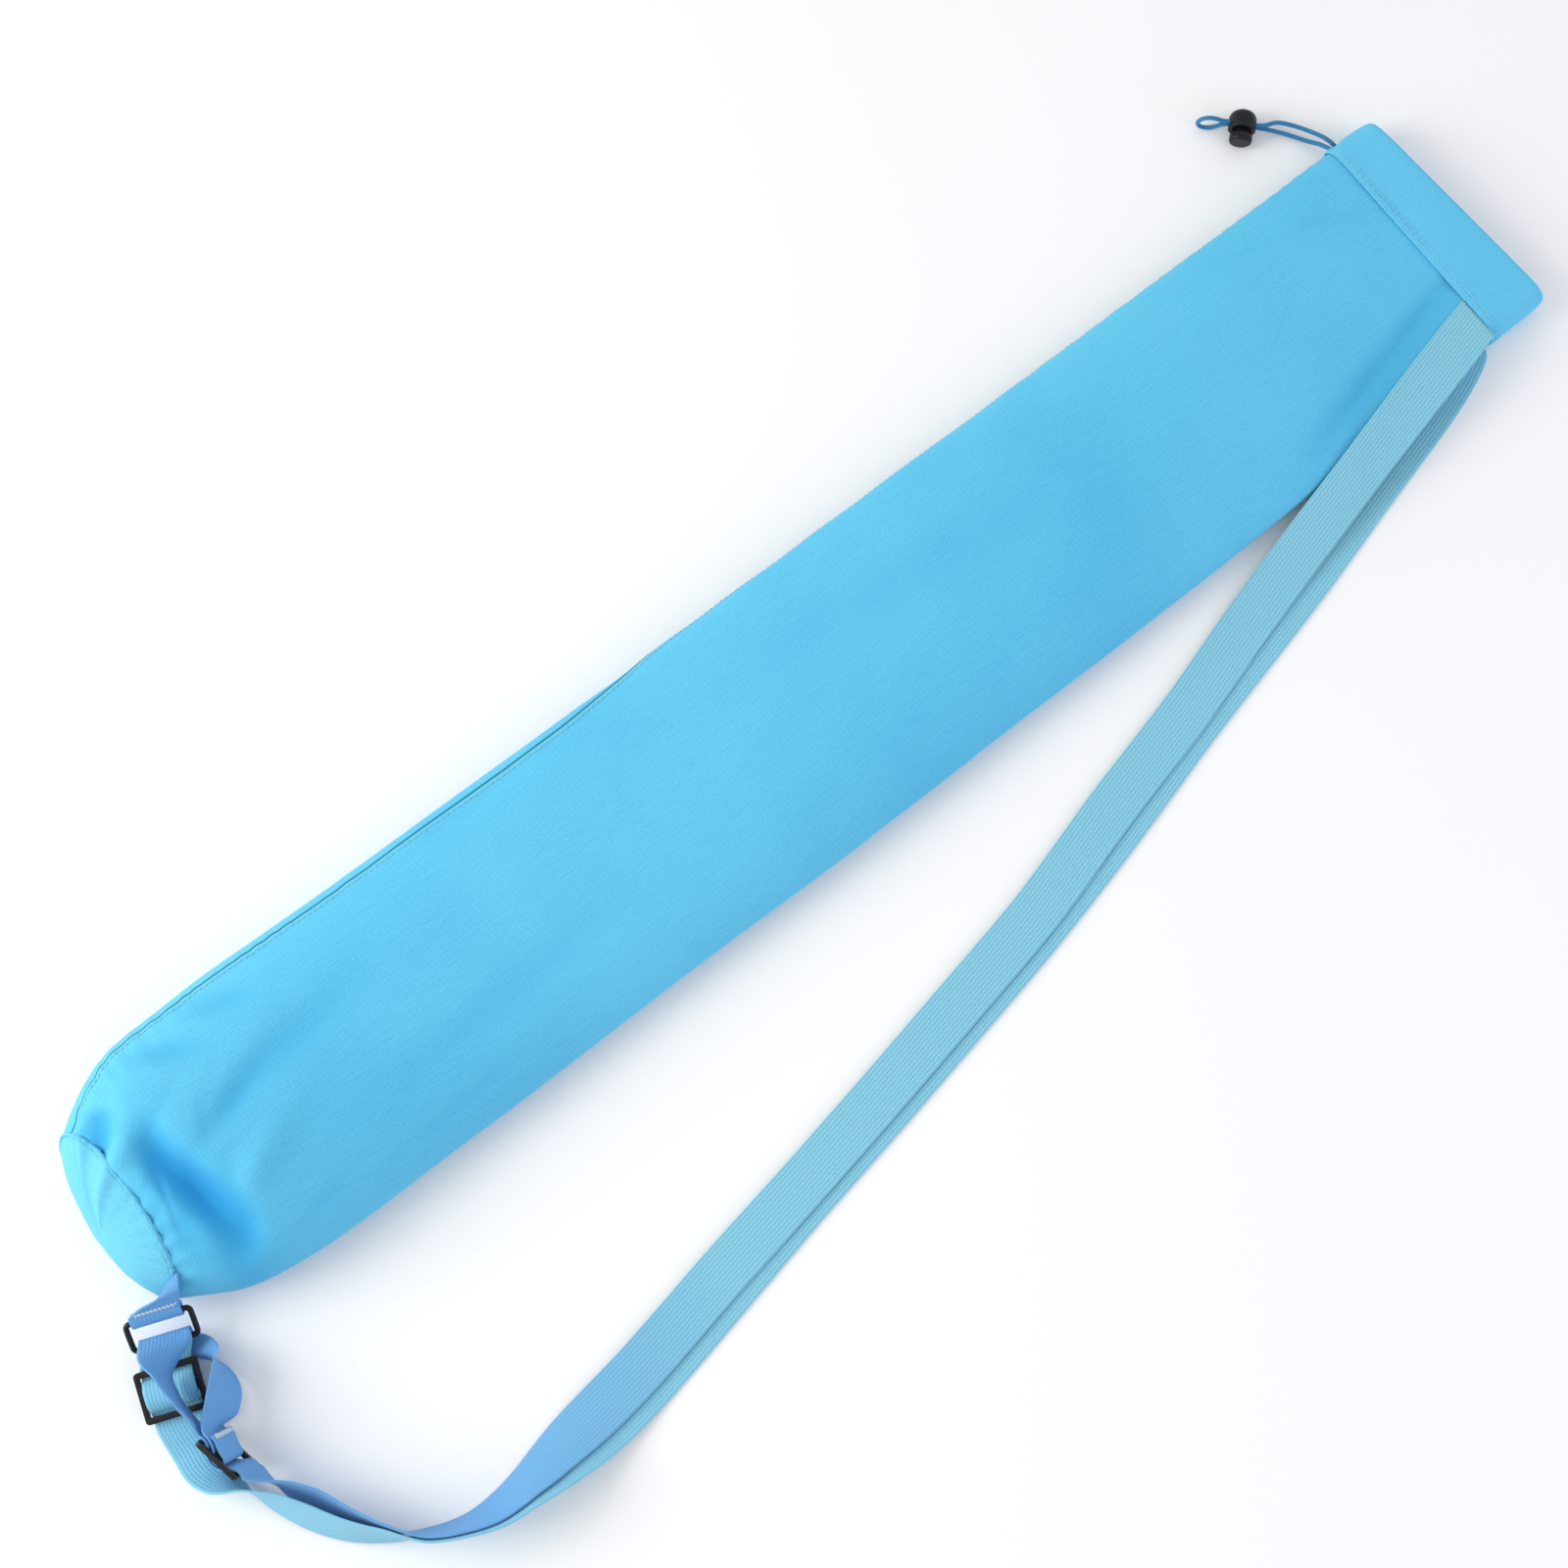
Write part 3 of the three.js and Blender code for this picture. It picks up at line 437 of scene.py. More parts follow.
def stitch_row(line, normals, length, gap, radius, lift):
    """Separate thread stitches along a line, each one a short bowed bead that dips into the cloth."""
    along = lengths_along(line)
    pitch = length + gap
    parts = []
    for start in np.arange(gap / 2, along[-1] - length, pitch):
        spots = np.linspace(start, start + length, len(STITCH_BOW))
        centre = np.column_stack([np.interp(spots, along, line[:, i]) for i in range(3)])
        out = unit(np.column_stack([np.interp(spots, along, normals[:, i]) for i in range(3)]))
        bowed = centre + out * (STITCH_BOW * radius + lift)[:, None]
        parts.append(sweep(bowed, circle(radius, 6), out, scales=STITCH_TAPER))
    return merged(parts)


# Cloth shapes

def body_sections(refine):
    """Sections of the tube between the rows of the table, as a dict of arrays."""
    rows = BODY_ROWS
    last = len(rows) - 1
    found = []
    for i in range(last):
        count = int(rows[i, -1]) * refine
        a, b, c, d = (rows[min(max(k, 0), last)] for k in (i - 1, i, i + 1, i + 2))
        t = (np.arange(count) / count)[:, None]
        found.append(b + 0.5 * t * (c - a + t * (2 * a - 5 * b + 4 * c - d + t * (3 * (b - c) + d - a))))
    return dict(zip(BODY_COLUMNS, np.vstack([*found, rows[-1:]]).T))


def fold_depth(x, y, rows):
    """How deep the folds of a table press the cloth in at each point."""
    total = np.zeros(np.broadcast(x, y).shape)
    for fold_x, fold_y, turn, long, wide, depth in rows:
        cos, sin = math.cos(math.radians(turn)), math.sin(math.radians(turn))
        along = (x - fold_x) * cos + (y - fold_y) * sin
        across = (y - fold_y) * cos - (x - fold_x) * sin
        total += depth * np.exp(-((along / long) ** 2) - (across / wide) ** 2)
    return total


def cloth_rings(sections, half_steps, folds):
    """Rings round the cloth, one row for each section, from the +Y edge over the top and back below."""
    s = {name: column[:, None] for name, column in sections.items()}
    k = np.arange(2 * half_steps)[None]
    u = np.cos(np.pi * k / half_steps)
    rise = np.sqrt(np.maximum(0, 1 - np.abs(u) ** s["square"]))
    y = (s["plus"] + s["minus"]) / 2 + (s["plus"] - s["minus"]) / 2 * u
    floor = np.maximum(s["lift"], s["edge"] - (s["edge"] - s["lift"] + FLOOR_SPREAD) * rise)
    roof = s["edge"] + (s["top"] - s["edge"]) * rise
    is_roof = k <= half_steps
    z = np.where(is_roof, roof, floor)
    x = s["x"] + s["lean"] * z
    z = z - np.where(is_roof, fold_depth(x, y, folds) * np.minimum(1, rise * FOLD_FADE), 0)
    return np.stack([x, y, z], axis=-1)


def base_rings(half_steps, ring_count, cloth):
    """Rings of the base disc's outer face, from near its centre to the seam."""
    rim_section = {name: column[:1] for name, column in body_sections(1).items()}
    rim = cloth_rings(rim_section, half_steps, FOLD_ROWS)[0]
    tip = rim_section["lean"][0]
    lean = unit(np.array([-1, 0, tip]))
    pole = np.array([rim_section["x"][0] + tip * BASE_CENTRE[1], *BASE_CENTRE])
    share = np.linspace(0.02, 1, ring_count)[:, None]
    angle = (np.pi * np.arange(2 * half_steps) / half_steps)[None]
    pucker = BASE_PUCKER["depth"] * np.cos(BASE_PUCKER["count"] * angle + BASE_PUCKER["phase"]) * share**2
    gather = BASE_GATHER["depth"] * share**4 * np.cos(BASE_GATHER["count"] * angle + 2 * np.sin(3 * angle))
    sag = BASE_SAG * wave_noise(4 * share * np.cos(angle), 4 * share * np.sin(angle), SEED)
    bulge = (BASE_BULGE + pucker) * (1 - share**BASE_POWER) + FIT_GAP + cloth
    push = bulge + (gather + sag) * (1 - share**12)
    rings = pole + share[..., None] * (rim - pole) + push[..., None] * lean
    rings[..., 2] = np.maximum(rings[..., 2], BASE_LIFT)
    return rings


def casing_line(half_steps):
    """The line of the cloth at the casing seam, and the outward direction at each point."""
    section = {name: column[-1:] for name, column in body_sections(1).items()}
    line = cloth_rings(section, half_steps, FOLD_ROWS[:0])[0]
    step = np.roll(line, -1, axis=0) - np.roll(line, 1, axis=0)
    out = unit(np.column_stack([np.zeros(len(line)), step[:, 2], -step[:, 1]]))
    return line, out


def casing_place(line, out, along, offset):
    """Points at a distance along the casing and an offset from the cloth's line."""
    stretch = 1 - CASING_SKEW * (line[:, 1] - CASING_START_Y)
    placed = line + out * offset
    placed[:, 0] = SEAM_X + FIT_GAP + along * stretch
    return placed


def strap_sections(node):
    """Centres and spans from edge to edge of a strap, in millimetres, read ring by ring from its CAD node."""
    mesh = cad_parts[node].data
    spots = np.array([v.co for v in mesh.vertices]) / MM
    unique, number = np.unique(np.round(spots, 3), axis=0, return_inverse=True)
    number = np.ravel(number)
    near = [set() for _ in unique]
    for polygon in mesh.polygons:
        corners = {int(number[v]) for v in polygon.vertices}
        for corner in corners:
            near[corner] |= corners - {corner}
    ends = {v for v, others in enumerate(near) if len(others) < 6}
    ring = {max(ends, key=lambda v: tuple(unique[v]))}
    for _ in range(3):
        ring |= {v for v in ends if near[v] & ring}
    if len(ring) == 3:
        ring |= set.intersection(*(near[v] for v in ring))
    seen, rings = set(), []
    while ring:
        rings.append(unique[sorted(ring)])
        seen |= ring
        ring = set().union(*(near[v] for v in ring)) - seen
    centres, spans = [], []
    for corners in rings:
        others = sorted(range(1, 4), key=lambda k: np.linalg.norm(corners[k] - corners[0]))
        pair = [0, others[0]]
        rest = [k for k in range(4) if k not in pair]
        span = corners[rest].mean(0) - corners[pair].mean(0)
        if spans and span @ spans[-1] < 0:
            span = -span
        centres.append(corners.mean(0))
        spans.append(span)
    return np.array(centres), np.array(spans)


def web_profile(width, thick, edge_bulge):
    """Clockwise webbing profile with rounded edges, a little thicker at the two selvedges."""
    radius = thick / 2
    reach = width / 2 - radius
    face = radius - WEB_HOLLOW
    flat = np.linspace(-reach, reach, 15)
    top = np.column_stack([flat, face + bell(reach - np.abs(flat), edge_bulge, SELVEDGE_WIDE)])
    turn = np.radians([60, 20, -20, -60])
    right = np.column_stack([reach + radius * np.cos(turn), (face + edge_bulge) * np.sin(turn)])
    upper = np.vstack([top, right])
    return np.vstack([upper, upper * [-1, -1]])


def ribbon(centres, spans, profile, width):
    """A strap of the given profile along its centres, gathered where a span is less than the width."""
    ahead = unit(np.gradient(centres, axis=0))
    face = unit(np.cross(spans, ahead))
    across = profile[None, :, :1] / width * spans[:, None]
    rings = centres[:, None] + across + profile[None, :, 1:] * face[:, None]
    return rings.reshape(-1, 3), *tube_faces(centres, profile)


# Materials

class Net:
    """Adds nodes to a node tree and links them in short calls."""

    def __init__(self, tree):
        self.tree = tree

    def add(self, kind, inputs=None, **settings):
        node = self.tree.nodes.new(kind)
        for name, value in settings.items():
            setattr(node, name, value)
        for key, value in (inputs or {}).items():
            if isinstance(value, bpy.types.NodeSocket):
                self.tree.links.new(value, node.inputs[key])
            else:
                node.inputs[key].default_value = value
        return node

    def math(self, operation, a, b=0.0):
        return self.add("ShaderNodeMath", {0: a, 1: b}, operation=operation).outputs[0]

    def wave(self, value, pitch, phase=0.0):
        """A cosine from 0 to 1 that repeats at each pitch."""
        turn = self.math("ADD", self.math("MULTIPLY", value, 2 * math.pi / pitch), phase)
        return self.math("MULTIPLY", self.math("ADD", self.math("COSINE", turn), 1.0), 0.5)

    def noise(self, vector, scale, detail=3.0):
        inputs = {"Vector": vector, "Scale": scale, "Detail": detail}
        return self.add("ShaderNodeTexNoise", inputs).outputs["Fac"]

    def remap(self, value, low, high, to_low, to_high):
        inputs = {"Value": value, "From Min": low, "From Max": high, "To Min": to_low, "To Max": to_high}
        return self.add("ShaderNodeMapRange", inputs).outputs[0]

    def mix(self, share, a, b):
        """Two colours mixed. A mix node's colours are its inputs 6 and 7 and its output 2."""
        return self.add("ShaderNodeMix", {0: share, 6: a, 7: b}, data_type="RGBA").outputs[2]

    def scaled(self, value, share):
        return self.math("MULTIPLY", value, share)

    def sum(self, *values):
        total = values[0]
        for value in values[1:]:
            total = self.math("ADD", total, value)
        return total

    def place(self):
        """Coordinates on the object itself."""
        return self.add("ShaderNodeTexCoord").outputs["Object"]

    def stretched(self, vector, scale):
        return self.add("ShaderNodeMapping", {"Vector": vector, "Scale": scale}).outputs[0]

    def put(self, value, socket):
        self.tree.links.new(value, socket)


def new_group(name, inputs, outputs):
    """An empty shader group with its sockets, as its net, input node and output node."""
    tree = bpy.data.node_groups.new(name, "ShaderNodeTree")
    for socket, kind in inputs:
        tree.interface.new_socket(socket, in_out="INPUT", socket_type=kind)
    for socket, kind in outputs:
        tree.interface.new_socket(socket, in_out="OUTPUT", socket_type=kind)
    net = Net(tree)
    return net, net.add("NodeGroupInput"), net.add("NodeGroupOutput")


def cut_uv(net):
    """The sheet's own flat coordinates in metres, as a vector and its two parts."""
    flat = net.add("ShaderNodeUVMap", uv_map="Cut").outputs[0]
    parts = net.add("ShaderNodeSeparateXYZ", {0: flat})
    return flat, parts.outputs[0], parts.outputs[1]


# Pitches of the weaves in metres, and where along the bag the webbing's painted violet-blue shade is full and
# where it ends.
CLOTH_PITCH = 0.0011
WEB_CORD_PITCH = 0.0018
WEB_BEAD_PITCH = 0.0015
BRAID_PITCH = 0.0014
BASE_END_SHADE_ENDS = (-0.36, -0.2)

COLOUR_IO = [("Light", "NodeSocketColor"), ("Dark", "NodeSocketColor")]
PAINTED_SHADE_IO = [*COLOUR_IO, ("PaintedShade", "NodeSocketColor")]
WEAVE_OUT = [("Colour", "NodeSocketColor"), ("Height", "NodeSocketFloat")]


def cloth_group():
    """Plain woven cloth: a fine over-and-under weave with slubs, slow changes of tone, and painted shade
    deepening the colour in the folds.
    """
    net, source, result = new_group("ClothWeave", PAINTED_SHADE_IO, WEAVE_OUT)
    # Painted shade: a share taken from how deep the cloth is folded in, which mixes its colour towards a deep
    # blue.
    folded = net.add("ShaderNodeAttribute", attribute_name="PaintedFoldShade").outputs["Fac"]
    flat, u, v = cut_uv(net)
    pitches = (CLOTH_PITCH, 2 * CLOTH_PITCH)
    threads = net.sum(*(net.scaled(net.wave(u, pitch), net.wave(v, pitch)) for pitch in pitches))
    slub = net.noise(net.stretched(flat, (60, 900, 1)), 1.0, 2.0)
    slow = net.noise(net.place(), 9.0, 2.0)
    grain = net.noise(flat, 700.0, 2.0)
    grainy = net.scaled(net.math("SUBTRACT", grain, 0.5), 0.5)
    tone = net.sum(net.scaled(slow, 0.55), net.scaled(slub, 0.3), grainy)
    tone = net.math("SUBTRACT", tone, net.scaled(threads, 0.06))
    share = net.remap(tone, 0.25, 0.65, 0.0, 1.0)
    woven = net.mix(share, source.outputs["Light"], source.outputs["Dark"])
    net.put(net.mix(folded, woven, source.outputs["PaintedShade"]), result.inputs["Colour"])
    height = net.sum(net.scaled(threads, 0.4), net.scaled(slub, 0.35), net.scaled(grain, 0.35))
    net.put(height, result.inputs["Height"])
    return net.tree


def webbing_group():
    """Woven webbing: cords of staggered beads with darker gaps, and painted violet-blue shade that deepens
    towards the base end.
    """
    net, source, result = new_group("WebbingWeave", PAINTED_SHADE_IO, WEAVE_OUT)
    lengthwise = net.add("ShaderNodeSeparateXYZ", {0: net.place()}).outputs[0]
    # Painted shade: towards the base end the webbing's colour mixes into a deeper violet-blue.
    base_end_shade = net.remap(lengthwise, *BASE_END_SHADE_ENDS, 0.9, 0.0)
    light = net.mix(base_end_shade, source.outputs["Light"], source.outputs["PaintedShade"])
    dark = net.mix(net.scaled(base_end_shade, 0.7), source.outputs["Dark"], source.outputs["PaintedShade"])
    flat, u, v = cut_uv(net)
    row = net.math("FLOOR", net.math("DIVIDE", v, WEB_CORD_PITCH))
    stagger = net.scaled(net.math("MODULO", row, 2.0), math.pi)
    wander = net.scaled(net.noise(flat, 420.0), 9.0)
    beads = net.wave(u, WEB_BEAD_PITCH, net.sum(stagger, wander))
    fibre = net.noise(net.stretched(flat, (600, 1900, 1)), 1.0, 2.0)
    ribs = net.math("SUBTRACT", 1.0, net.math("POWER", net.wave(v, WEB_CORD_PITCH), 3.0))
    pebble = net.scaled(net.sum(net.scaled(beads, 0.55), 0.45), ribs)
    net.put(net.sum(pebble, net.scaled(fibre, 0.4)), result.inputs["Height"])
    tone = net.sum(net.scaled(pebble, 0.6), net.scaled(fibre, 0.7))
    net.put(net.mix(net.remap(tone, 0.2, 1.0, 0.0, 1.0), dark, light), result.inputs["Colour"])
    return net.tree


def braid_group():
    """Braided cord: two crossing sets of strands."""
    net, source, result = new_group("CordBraid", COLOUR_IO, WEAVE_OUT)
    flat, u, v = cut_uv(net)
    lean = net.scaled(v, 0.9)
    left, right = (net.wave(net.math(way, u, lean), BRAID_PITCH) for way in ("ADD", "SUBTRACT"))
    height = net.sum(net.math("MAXIMUM", left, right), net.scaled(net.noise(flat, 1500.0, 2.0), 0.3))
    net.put(height, result.inputs["Height"])
    share = net.remap(height, 0.3, 1.2, 0.0, 1.0)
    net.put(net.mix(share, source.outputs["Dark"], source.outputs["Light"]), result.inputs["Colour"])
    return net.tree


def plastic_group():
    """Moulded plastic: spark-eroded grain, with paler rubbed patches."""
    outputs = [("Colour", "NodeSocketColor"), ("Roughness", "NodeSocketFloat"), ("Height", "NodeSocketFloat")]
    net, source, result = new_group("MouldedPlastic", COLOUR_IO, outputs)
    place = net.place()
    rubs = net.noise(place, 170.0, 4.0)
    edges = net.add("ShaderNodeNewGeometry").outputs["Pointiness"]
    worn = net.scaled(net.remap(edges, 0.5, 0.62, 0.0, 1.0), net.remap(rubs, 0.35, 0.7, 0.0, 1.0))
    net.put(net.mix(worn, source.outputs["Dark"], source.outputs["Light"]), result.inputs["Colour"])
    net.put(net.remap(rubs, 0.3, 0.7, 0.3, 0.5), result.inputs["Roughness"])
    net.put(net.noise(place, 2600.0, 2.0), result.inputs["Height"])
    return net.tree


def dressed_material(name, group, colours, bump, sizes):
    """A material whose colour and bump come from a weave group. sizes are set on the shader's own sockets."""
    material = bpy.data.materials.new(name)
    material.use_nodes = True
    material.node_tree.nodes.clear()
    net = Net(material.node_tree)
    weave = net.add("ShaderNodeGroup", node_tree=group)
    for socket, colour in zip(weave.inputs, colours):
        socket.default_value = (*colour, 1)
    height = weave.outputs["Height"]
    relief = net.add("ShaderNodeBump", {"Strength": bump[0], "Distance": bump[1], "Height": height})
    inputs = {"Base Color": weave.outputs["Colour"], "Normal": relief.outputs[0], **sizes}
    if "Roughness" in weave.outputs:
        inputs["Roughness"] = weave.outputs["Roughness"]
    shader = net.add("ShaderNodeBsdfPrincipled", inputs)
    net.add("ShaderNodeOutputMaterial", {"Surface": shader.outputs[0]})
    return material


CLOTH_SHADER = {"Roughness": 0.8, "Sheen Weight": 0.06, "Sheen Roughness": 0.5, "Specular IOR Level": 0.12}
WEB_SHADER = {"Roughness": 0.75, "Sheen Weight": 0.1, "Sheen Roughness": 0.45, "Specular IOR Level": 0.2}
PLASTIC_SHADER = {"Specular IOR Level": 0.3}
MATERIALS = {}


def make_materials():
    """All the materials of the bag, by short name."""
    cloth, webbing, braid, plastic = cloth_group(), webbing_group(), braid_group(), plastic_group()
    cloth_relief, web_relief, thread_relief = (0.35, 0.00035), (0.5, 0.0004), (0.3, 0.0001)
    # Deep blue painted into the tube's dents and creases as shade.
    painted_fold_shade_blue = (0.03, 0.36, 0.7)
    sky_web = ((0.32, 0.69, 0.79), (0.13, 0.42, 0.61))
    looks = {
        "body": (cloth, [(0.14, 0.58, 0.82), (0.09, 0.47, 0.74), painted_fold_shade_blue], cloth_relief, CLOTH_SHADER),
        "base": (cloth, [(0.17, 0.59, 0.78), (0.12, 0.5, 0.72), painted_fold_shade_blue], cloth_relief, CLOTH_SHADER),
        "casing": (cloth, [(0.15, 0.59, 0.84), (0.11, 0.51, 0.79), painted_fold_shade_blue], cloth_relief, CLOTH_SHADER),
        # The third colour of each webbing is its painted shade towards the base end: violet-blue on the front
        # strap and tab, paler on the back strap.
        "front_web": (webbing, [*sky_web, (0.13, 0.34, 0.72)], web_relief, WEB_SHADER),
        "back_web": (webbing, [*sky_web, (0.25, 0.58, 0.76)], web_relief, WEB_SHADER),
        "cord": (braid, [(0.05, 0.26, 0.5), (0.02, 0.13, 0.3)], (0.6, 0.0003), WEB_SHADER),
        "thread": (braid, [(0.3, 0.68, 0.8), (0.12, 0.48, 0.66)], thread_relief, WEB_SHADER),
        # Dark teal for the strip of painted shadow beside the side seam.
        "painted_seam_shadow": (braid, [(0.02, 0.25, 0.38), (0.014, 0.18, 0.3)], thread_relief, CLOTH_SHADER),
        "tack": (braid, [(0.78, 0.86, 0.88), (0.5, 0.68, 0.74)], thread_relief, WEB_SHADER),
        "plastic": (plastic, [(0.016, 0.018, 0.02), (0.004, 0.005, 0.006)], (0.12, 0.0001), PLASTIC_SHADER),
    }
    for name, look in looks.items():
        MATERIALS[name] = dressed_material(f"bag_{name}", *look)


# Settings

class MatBagCloth(bpy.types.PropertyGroup):
    """Cloth of the tube, base and casing."""

    thickness: bpy.props.FloatProperty(
        name="Thickness", description="Thickness of one layer of cloth", default=0.001, unit="LENGTH")
    ripple: bpy.props.FloatProperty(
        name="Ripple", description="Height of the slow ripples in the cloth", default=0.0003, unit="LENGTH")
    stitch: bpy.props.FloatProperty(
        name="Stitch", description="Length of one stitch on the cloth", default=0.0026, unit="LENGTH")
    thread: bpy.props.FloatProperty(
        name="Thread", description="Radius of the sewing thread", default=0.00026, unit="LENGTH")


class MatBagWebbing(bpy.types.PropertyGroup):
    """Webbing of the straps and the tab."""

    width: bpy.props.FloatProperty(
        name="Width", description="Width of the webbing", default=0.025, unit="LENGTH")
    thickness: bpy.props.FloatProperty(
        name="Thickness", description="Thickness of the webbing", default=0.0012, unit="LENGTH")
    selvedge: bpy.props.FloatProperty(
        name="Selvedge", description="How far the woven edges stand proud", default=0.00008, unit="LENGTH")


class MatBagStage(bpy.types.PropertyGroup):
    """Floor, light and camera."""

    key: bpy.props.FloatProperty(
        name="Key", description="Power of the large soft light from the left in watts", default=26.0)
    fill: bpy.props.FloatProperty(
        name="Fill", description="Power of the violet fill from the right in watts", default=5.0)
    sky: bpy.props.FloatProperty(
        name="Sky", description="Strength of the even light from all round", default=0.76)
    floor: bpy.props.FloatVectorProperty(
        name="Floor", description="Colour of the floor", default=(0.95, 0.95, 0.945), subtype="COLOR")


# Building steps

class MATBAG_OT_camera(bpy.types.Operator):
    """Places the camera at the photograph's angle."""

    bl_idname = "matbag.camera"
    bl_label = "Camera"

    def execute(self, context):
        azimuth, elevation = math.radians(CAMERA["azimuth"]), math.radians(CAMERA["elevation"])
        back = Vector((
            math.sin(azimuth) * math.cos(elevation),
            -math.cos(azimuth) * math.cos(elevation),
            math.sin(elevation),
        ))
        data = bpy.data.cameras.new("Camera")
        data.sensor_width = 36
        data.angle = math.radians(CAMERA["field"])
        camera = bpy.data.objects.new("Camera", data)
        camera.location = LOOK_AT + back * CAMERA["distance"]
        camera.rotation_euler = (-back).to_track_quat("-Z", "Y").to_euler()
        context.scene.collection.objects.link(camera)
        context.scene.camera = camera
        return {"FINISHED"}


class MATBAG_OT_drawcord(bpy.types.Operator):
    """Lays the braided drawcord along its route."""

    bl_idname = "matbag.drawcord"
    bl_label = "Drawcord"

    def execute(self, context):
        line = even_line(smooth_line(CORD_ROUTE, 12), 0.9)
        tube = sweep(line, circle(CORD_DIAMETER / 2, 14), minimal_up(line, (0, 0, 1)))
        cord = make_piece("braided_drawcord", *tube, MATERIALS["cord"], "cord")
        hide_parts("drawcord")
        return {"FINISHED"}


class MATBAG_OT_tube(bpy.types.Operator):
    """Builds the long cloth tube with its dents, creases and side seam."""

    bl_idname = "matbag.tube"
    bl_label = "Cloth tube"

    half_steps = 64

    def execute(self, context):
        cloth = context.scene.matbag_cloth
        folds = np.vstack([FOLD_ROWS, CREASE_ROWS])
        rings = cloth_rings(body_sections(5), self.half_steps, folds)
        under_casing = rings[-1:] + np.array([[[step, 0, 0]] for step in TUCK])
        rings = np.concatenate([rings, under_casing])
        rows, columns = rings.shape[:2]
        faces, corners = grid_faces(rows, columns)
        along = lengths_along(rings[:, self.half_steps // 2])
        looped = np.concatenate([rings, rings[:, :1]], axis=1)
        steps = np.linalg.norm(np.diff(looped, axis=1), axis=2)
        around = np.hstack([np.zeros((rows, 1)), np.cumsum(steps, axis=1)])
        points = rings.reshape(-1, 3)
        normals = vertex_normals(points, faces)
        ripple = sum(
            height * wave_noise(points[:, 0] / long, points[:, 1] / wide, SEED + seed, octaves)
            for long, wide, height, seed, octaves in RIPPLE_ROWS
        )
        ripple = ripple * cloth.ripple / MM + self.puckers(rings, along).ravel()
        near_casing = ramp(SEAM_X - points[:, 0], *RIPPLE_FADE["casing"])
        ripple *= ramp(points[:, 2], *RIPPLE_FADE["floor"]) * near_casing
        points = points + normals * ripple[:, None]
        uvs = [tuple((along[r], around[r, c]) for r, c in quad) for quad in corners]
        sheet = thicken(points, faces, uvs, cloth.thickness / MM)
        tube = make_piece("cloth_tube", *sheet, MATERIALS["body"], "cloth")
        # Painted shade: a share per point from the fold depth, above a height off the floor, that darkens the
        # cloth's colour in its dents and creases.
        depth = fold_depth(points[:, 0], points[:, 1], folds)
        folded = ramp(points[:, 2], *FOLD_ABOVE) * (1 - np.exp(-np.maximum(depth, 0) / FOLD_SHADE))
        tube.data.attributes.new("PaintedFoldShade", "FLOAT", "POINT").data.foreach_set("value", np.tile(folded, 2))
        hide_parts("body_panel")
        self.side_seam(points.reshape(rows, columns, 3), normals.reshape(rows, columns, 3))
        return {"FINISHED"}

    def seam_angle(self, rings):
        """Where the side seam runs round each ring: inside the +Y edge, then over it half way along."""
        turn = ramp(rings[:, 0, 0], SIDE_SEAM["turn_x"], SIDE_SEAM["turn_long"])
        return SIDE_SEAM["inside"] * (1 - turn * turn * (3 - 2 * turn)) + SIDE_SEAM["over"] * turn

    def puckers(self, rings, along):
        """Small gathers in the cloth beside the side seam, the casing seam and the base seam."""
        side, casing, rim = SIDE_PUCKER, CASING_PUCKER, RIM_PUCKER
        x, y = rings[..., 0], rings[..., 1]
        angle = np.pi * np.arange(rings.shape[1]) / self.half_steps
        from_seam = np.mod(angle[None] - self.seam_angle(rings)[:, None] + np.pi, 2 * np.pi) - np.pi
        drift = side["drift"] * wave_noise(along / side["drift_pitch"], 0 * along, SEED + 4)
        down = np.sin(2 * np.pi * along / side["pitch"] + drift)
        at_side = bell(from_seam, side["height"], side["reach"]) * down[:, None]
        drift = casing["drift"] * np.sin(y / casing["drift_pitch"])
        across = np.sin(2 * np.pi * y / casing["pitch"] + drift)
        at_casing = bell(SEAM_X - x, casing["height"], casing["reach"]) * across
        around = np.sin(rim["count"] * angle + rim["drift"] * np.sin(rim["drift_count"] * angle))
        at_base = bell(along, rim["height"], rim["reach"])[:, None] * around[None]
        return at_side + at_casing + at_base

    def side_seam(self, rings, normals):
        """A narrow felled seam along the tube, with a dark strip of painted shadow beside it and a row of
        stitches.
        """
        place = np.mod(self.seam_angle(rings) / np.pi * self.half_steps, rings.shape[1])
        low = np.floor(place).astype(int)
        share = (place - low)[:, None]
        rows = np.arange(len(rings))
        nxt = (low + 1) % rings.shape[1]
        line = rings[rows, low] * (1 - share) + rings[rows, nxt] * share
        up = unit(normals[rows, low] * (1 - share) + normals[rows, nxt] * share)
        outer = unit(np.cross(up, np.gradient(line, axis=0)))
        # A thin dark strip beside the lip paints the shadow line along the seam.
        painted_seam_shadow = sweep(line + outer * SHADOW_STRIP_BESIDE, circle(**SEAM_SHADOW_STRIP), up)
        threads = stitch_row(line - outer * STITCH_BESIDE, up, **SEAM_STITCH)
        make_piece("side_seam", *sweep(line, SEAM_LIP, up), MATERIALS["base"], "cloth")
        make_piece("side_seam_painted_shadow", *painted_seam_shadow, MATERIALS["painted_seam_shadow"], "cloth")
        make_piece("side_seam_stitches", *threads, MATERIALS["thread"], "cloth")


